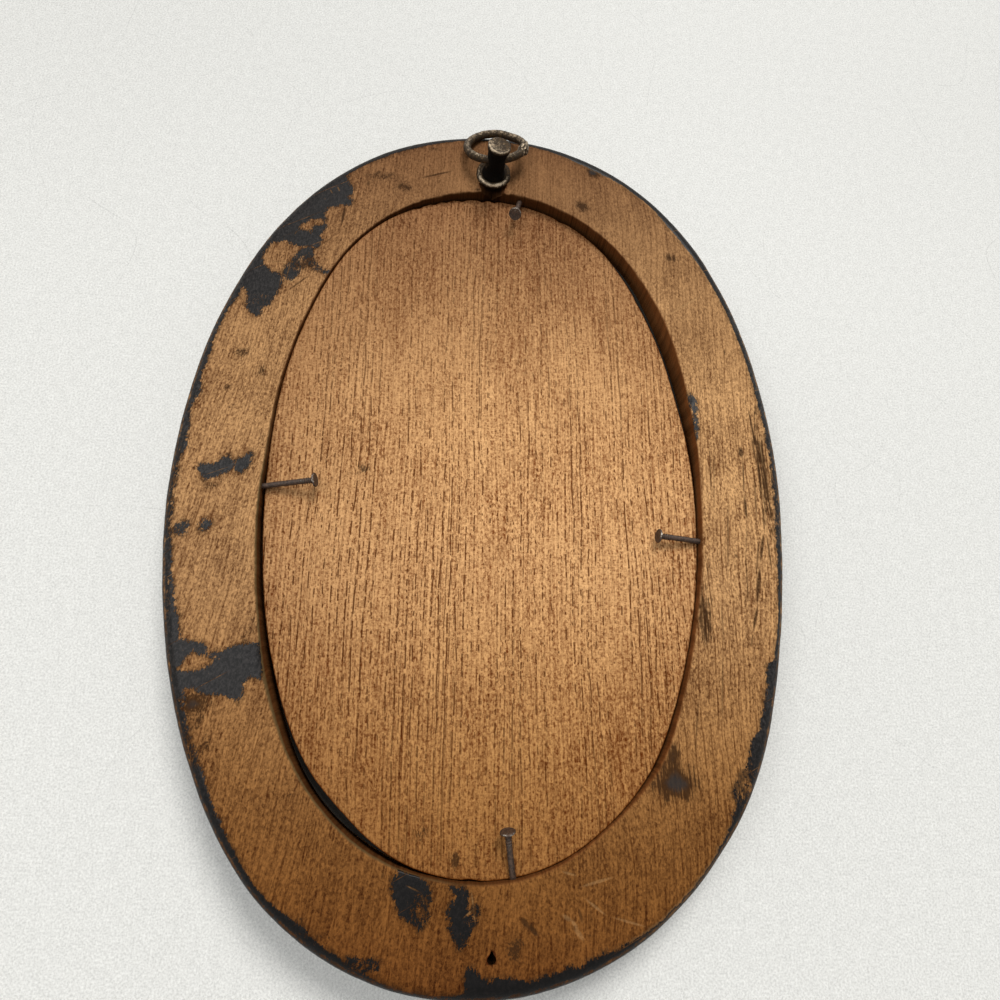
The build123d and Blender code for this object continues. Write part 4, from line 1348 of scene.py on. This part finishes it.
class OVALFRAME_OT_hanger(Operator):
    """Builds the rosette and the leaning hanging stud"""

    bl_idname = "oval_frame.hanger"
    bl_label = "Rosette and stud"

    def execute(self, context):
        sizes = context.scene.oval_frame_hanger
        colours = context.scene.oval_frame_finishes
        back = context.scene.oval_frame_rail.rail_thickness / MM
        foot = Matrix.Translation((0, sizes.foot_y / MM, back))
        self.rosette(sizes, colours, foot)
        self.stud(sizes, colours, foot)
        return {"FINISHED"}

    @staticmethod
    def rosette(sizes, colours, foot):
        """A pressed disc with a rounded, rubbed rim."""
        outer = sizes.rosette_diameter / MM / 2
        profile = [(0, 0), (outer - 0.3, 0), (outer, 0.1), (outer + 0.02, 0.35), (outer - 0.2, 0.75)]
        profile += [(outer - 0.55, 1.05), (outer - 0.95, 1.05), (outer - 1.3, 0.8), (outer - 1.7, 0.6)]
        profile += [(outer - 2.6, 0.58), (2.0, 0.6), (1.0, 0.6), (0, 0.6)]
        points, faces = turned(profile, foot, 72, 0.34, 1.5)
        local = np.array([foot.inverted() @ Vector(p) for p in points])
        away = np.hypot(local[:, 0], local[:, 1])
        rubbed = np.exp(-(((away - outer + 0.7) / 0.8) ** 2)) * np.clip(local[:, 2], 0, 1)
        material = hanger_finish(colours, "rubbed_rosette", 0.36, 0.78)
        # Brighter towards the lower left, where the photograph shows a highlight
        towards = np.clip(0.24 - local[:, 1] / outer * 0.90 - local[:, 0] / outer * 0.15, 0, 1.1)
        # Its middle round the stud is dark with dirt and painted shade
        numbers = {"rubbed": rubbed * (towards + 0.15), "grime": np.exp(-((away / 3.7) ** 8)) * 0.85}
        mesh_piece(
            "rubbed_rosette", points, faces, material, "frame", ["hanger_rosette"], numbers
        )

    @staticmethod
    def stud(sizes, colours, foot):
        """The stud turned in one piece, from the point of its screw to its flat head."""
        neck = sizes.neck_diameter / MM / 2
        head = sizes.head_diameter / MM / 2
        height = sizes.stud_height / MM
        slope = sin(sizes.lean)
        way = Vector((slope, slope, 1)).normalized()
        tall = POST_FOOT + (height - POST_FOOT) / way.z
        profile = [(0, -12.0), (0.5, -10.9), (1.6, -8.5), (1.6, 0.6), (3.7, 0.6), (3.75, 0.95), (3.65, 1.3)]
        profile += [(3.3, 1.65), (3.1, 2.4)]
        profile += [(neck, h) for h in np.linspace(2.9, tall - 3.0, 8)]
        profile += [(neck + 0.1, tall - 2.6), (neck + 0.3, tall - 1.9), (head - 0.05, tall - 1.35)]
        profile += [(head, tall - 1.15), (head + 0.02, tall - 0.5), (head - 0.08, tall - 0.2)]
        profile += [(head - 0.32, tall - 0.02), (head - 0.7, tall - 0.04), (head - 1.4, tall - 0.1)]
        profile += [(head - 2.2, tall - 0.1), (0.6, tall - 0.06), (0, tall - 0.05)]
        points, faces = turned(profile, Matrix.Identity(4), 64, 0.14, 1.5)
        tilt = Vector((0, 0, 1)).rotation_difference(way)
        placed, rubbed, grime = [], [], []
        for p in points:
            rise = max(p.z - POST_FOOT, 0)
            leaning = Vector((0, 0, POST_FOOT)) + tilt @ Vector((p.x, p.y, rise))
            placed.append(foot @ p.lerp(leaning, min(rise / 1.1, 1)))
            away = sqrt(p.x**2 + p.y**2)
            top_share = ramp(p.z, tall - 0.9, tall - 0.1)
            # The head is brighter towards the viewer, where the photograph shows a highlight
            rim = np.exp(-(((away - head + 0.25) / 0.35) ** 2))
            rubbed.append(top_share * (0.40 + rim * 0.26 * (p.y < 0) - 0.06 * p.x - 0.04 * p.y))
            # The neck under the head is dark with dirt and painted shade
            grime.append(1 - top_share if p.z < tall - 0.6 else 0)
        material = hanger_finish(colours, "blackened_stud", 0.35, 0.95)
        stud = mesh_piece(
            "blackened_stud", placed, faces, material, "frame", ["hanger_stud"],
            {"rubbed": rubbed, "grime": grime},
        )
        joint = frame["joints"][0]
        bore = Matrix.Translation(Vector(joint["pos_m"]) / MM)
        bore = bore @ Vector(joint["axis"]).to_track_quat("Z", "Y").to_matrix().to_4x4()
        reach, end = neck + 1.5, neck - 0.4
        hollow = [(0, -reach), (BORE_MOUTH, -reach), (BORE_END, -end), (BORE_RADIUS, 0)]
        hollow += [(BORE_END, end), (BORE_MOUTH, reach), (0, reach)]
        # The bore's inside is dark with painted shade
        cut(stud, [new_solid("bore", *turned(hollow, bore, 40), {"rubbed": 0.2, "grime": 0.9})])


class OVALFRAME_OT_ring(Operator):
    """Builds the hanging ring with its rough soldered joint"""

    bl_idname = "oval_frame.ring"
    bl_label = "Hanging ring"

    def execute(self, context):
        sizes = context.scene.oval_frame_hanger
        colours = context.scene.oval_frame_finishes
        wire = sizes.ring_wire / MM / 2
        reach = sizes.ring_diameter / MM / 2 - wire
        wide, deep = reach * RING_WIDE, reach * RING_DEEP
        place = self.plane(sizes, deep)
        points, rubbed = [], []
        rings, sides = 220, 28
        for ring in range(rings):
            turn = RING_JOINT + HALF_GAP + (2 * pi - 2 * HALF_GAP) * ring / (rings - 1)
            near_end = min(ring, rings - 1 - ring)
            thin = 1 - 0.35 * exp(-near_end / 1.2) + 0.05 * wobble(turn * 9, 0, 3, 1.0)
            outwards = Vector((cos(turn) / wide, sin(turn) / deep)).normalized()
            pinch = 1 - 0.10 * exp(-(((turn - 0.95) / 0.45) ** 2))
            for side in range(sides):
                angle = 2 * pi * side / sides
                rough = 0.07 * wobble(9 * cos(turn), 9 * sin(turn), 3 * angle, 1.6)
                away = wire * thin + rough * (1.6 if near_end < 12 else 1.0)
                out, up = away * cos(angle), away * sin(angle)
                x = wide * pinch * cos(turn) + out * outwards.x
                y = deep * pinch * sin(turn) + out * outwards.y
                points.append(place @ Vector((x, y, up)))
                # The wire is brighter on its upper face: partly wear, partly a painted highlight
                rubbed.append(0.16 + 0.46 * max(sin(angle), 0) - 0.10 * max(cos(angle), 0))
        faces = loop_faces(rings, sides)
        faces += [tuple(range(sides)), tuple(range((rings - 1) * sides, rings * sides))]
        material = hanger_finish(colours, "blackened_ring", 0.45, 1.05)
        replaced, numbers = ["hanger_ring"], {"rubbed": rubbed}
        mesh_piece("blackened_ring", points, faces, material, "ring", replaced, numbers)
        self.solder(colours, place, wide, wire)
        return {"FINISHED"}

    @staticmethod
    def plane(sizes, deep):
        """Where the ring's middle lies, and how the ring is turned."""
        joint = frame["joints"][0]
        way = Vector(joint["axis"]).normalized()
        level = Vector((0, 1, 0))
        out = Matrix.Rotation(-sizes.ring_droop, 3, way) @ (level - way * level.dot(way)).normalized()
        middle = Vector(joint["pos_m"]) / MM + out * (deep - RING_SHORT) - way * RING_SLID
        return Matrix.Translation(middle) @ Matrix((way, out, way.cross(out))).transposed().to_4x4()

    @staticmethod
    def solder(colours, place, radius, wire):
        """The lumpy blob that closes the ring's ends."""
        shape = bmesh.new()
        bmesh.ops.create_icosphere(shape, subdivisions=4, radius=1.0)
        points, rubbed = [], []
        for vertex in shape.verts:
            x, y, z = vertex.co
            lump = 1 + 0.30 * wobble(x, y, z + 3, 0.9) + 0.16 * wobble(x + 5, y, z, 0.4)
            turn = RING_JOINT + (y * 3.0 * lump - 0.9) / radius
            out = radius * (1 - 0.07 * sin(turn) ** 2) + x * (wire + 0.42) * lump + 0.1
            points.append(place @ Vector((out * cos(turn), out * sin(turn), z * (wire + 0.46) * lump + 0.15)))
            rubbed.append(0.62 + 0.5 * wobble(x, y, z, 0.5))
        faces = [tuple(v.index for v in face.verts) for face in shape.faces]
        shape.free()
        material = hanger_finish(colours, "ring_solder", 0.48, 0.84)
        mesh_piece("ring_solder", points, faces, material, "ring", (), {"rubbed": rubbed})


class OVALFRAME_OT_glazing(Operator):
    """Gives the glass, the bare picture sheet and the card their finishes"""

    bl_idname = "oval_frame.glazing"
    bl_label = "Glass, picture sheet and card"

    def execute(self, context):
        colours = context.scene.oval_frame_finishes
        finishes = {
            "glass_pane": glass_finish(),
            "picture_sheet": paper_finish(colours),
            "mount_card": card_finish(colours),
        }
        for node, material in finishes.items():
            frame["nodes"][node].material_slots[0].material = material
        return {"FINISHED"}


class OVALFRAME_PT_pieces(Panel):
    """Lists the pieces of the frame and their sizes and colours"""

    bl_label = "Oval frame"
    bl_idname = "OVALFRAME_PT_pieces"
    bl_space_type = "VIEW_3D"
    bl_region_type = "UI"
    bl_category = "Oval frame"

    def draw(self, context):
        for operator in OPERATORS:
            self.layout.operator(operator.bl_idname)
        for name in GROUPS:
            box = self.layout.box()
            group = getattr(context.scene, name)
            for setting in group.bl_rna.properties:
                if setting.identifier not in ("name", "rna_type"):
                    box.prop(group, setting.identifier)


OPERATORS = (
    OVALFRAME_OT_stage,
    OVALFRAME_OT_rail,
    OVALFRAME_OT_board,
    OVALFRAME_OT_brads,
    OVALFRAME_OT_hanger,
    OVALFRAME_OT_ring,
    OVALFRAME_OT_glazing,
)
GROUPS = {
    "oval_frame_rail": RailSizes,
    "oval_frame_board": BoardSizes,
    "oval_frame_hanger": HangerSizes,
    "oval_frame_finishes": Finishes,
}


def register():
    for group in GROUPS.values():
        bpy.utils.register_class(group)
    for name, group in GROUPS.items():
        setattr(bpy.types.Scene, name, PointerProperty(type=group))
    for operator in OPERATORS:
        bpy.utils.register_class(operator)
    bpy.utils.register_class(OVALFRAME_PT_pieces)


def unregister():
    bpy.utils.unregister_class(OVALFRAME_PT_pieces)
    for operator in reversed(OPERATORS):
        bpy.utils.unregister_class(operator)
    for name, group in GROUPS.items():
        delattr(bpy.types.Scene, name)
        bpy.utils.unregister_class(group)


def main():
    """Builds every piece in order."""
    register()
    bpy.ops.oval_frame.stage()
    bpy.ops.oval_frame.rail()
    bpy.ops.oval_frame.board()
    bpy.ops.oval_frame.brads()
    bpy.ops.oval_frame.hanger()
    bpy.ops.oval_frame.ring()
    bpy.ops.oval_frame.glazing()


if __name__ == "__main__":
    main()
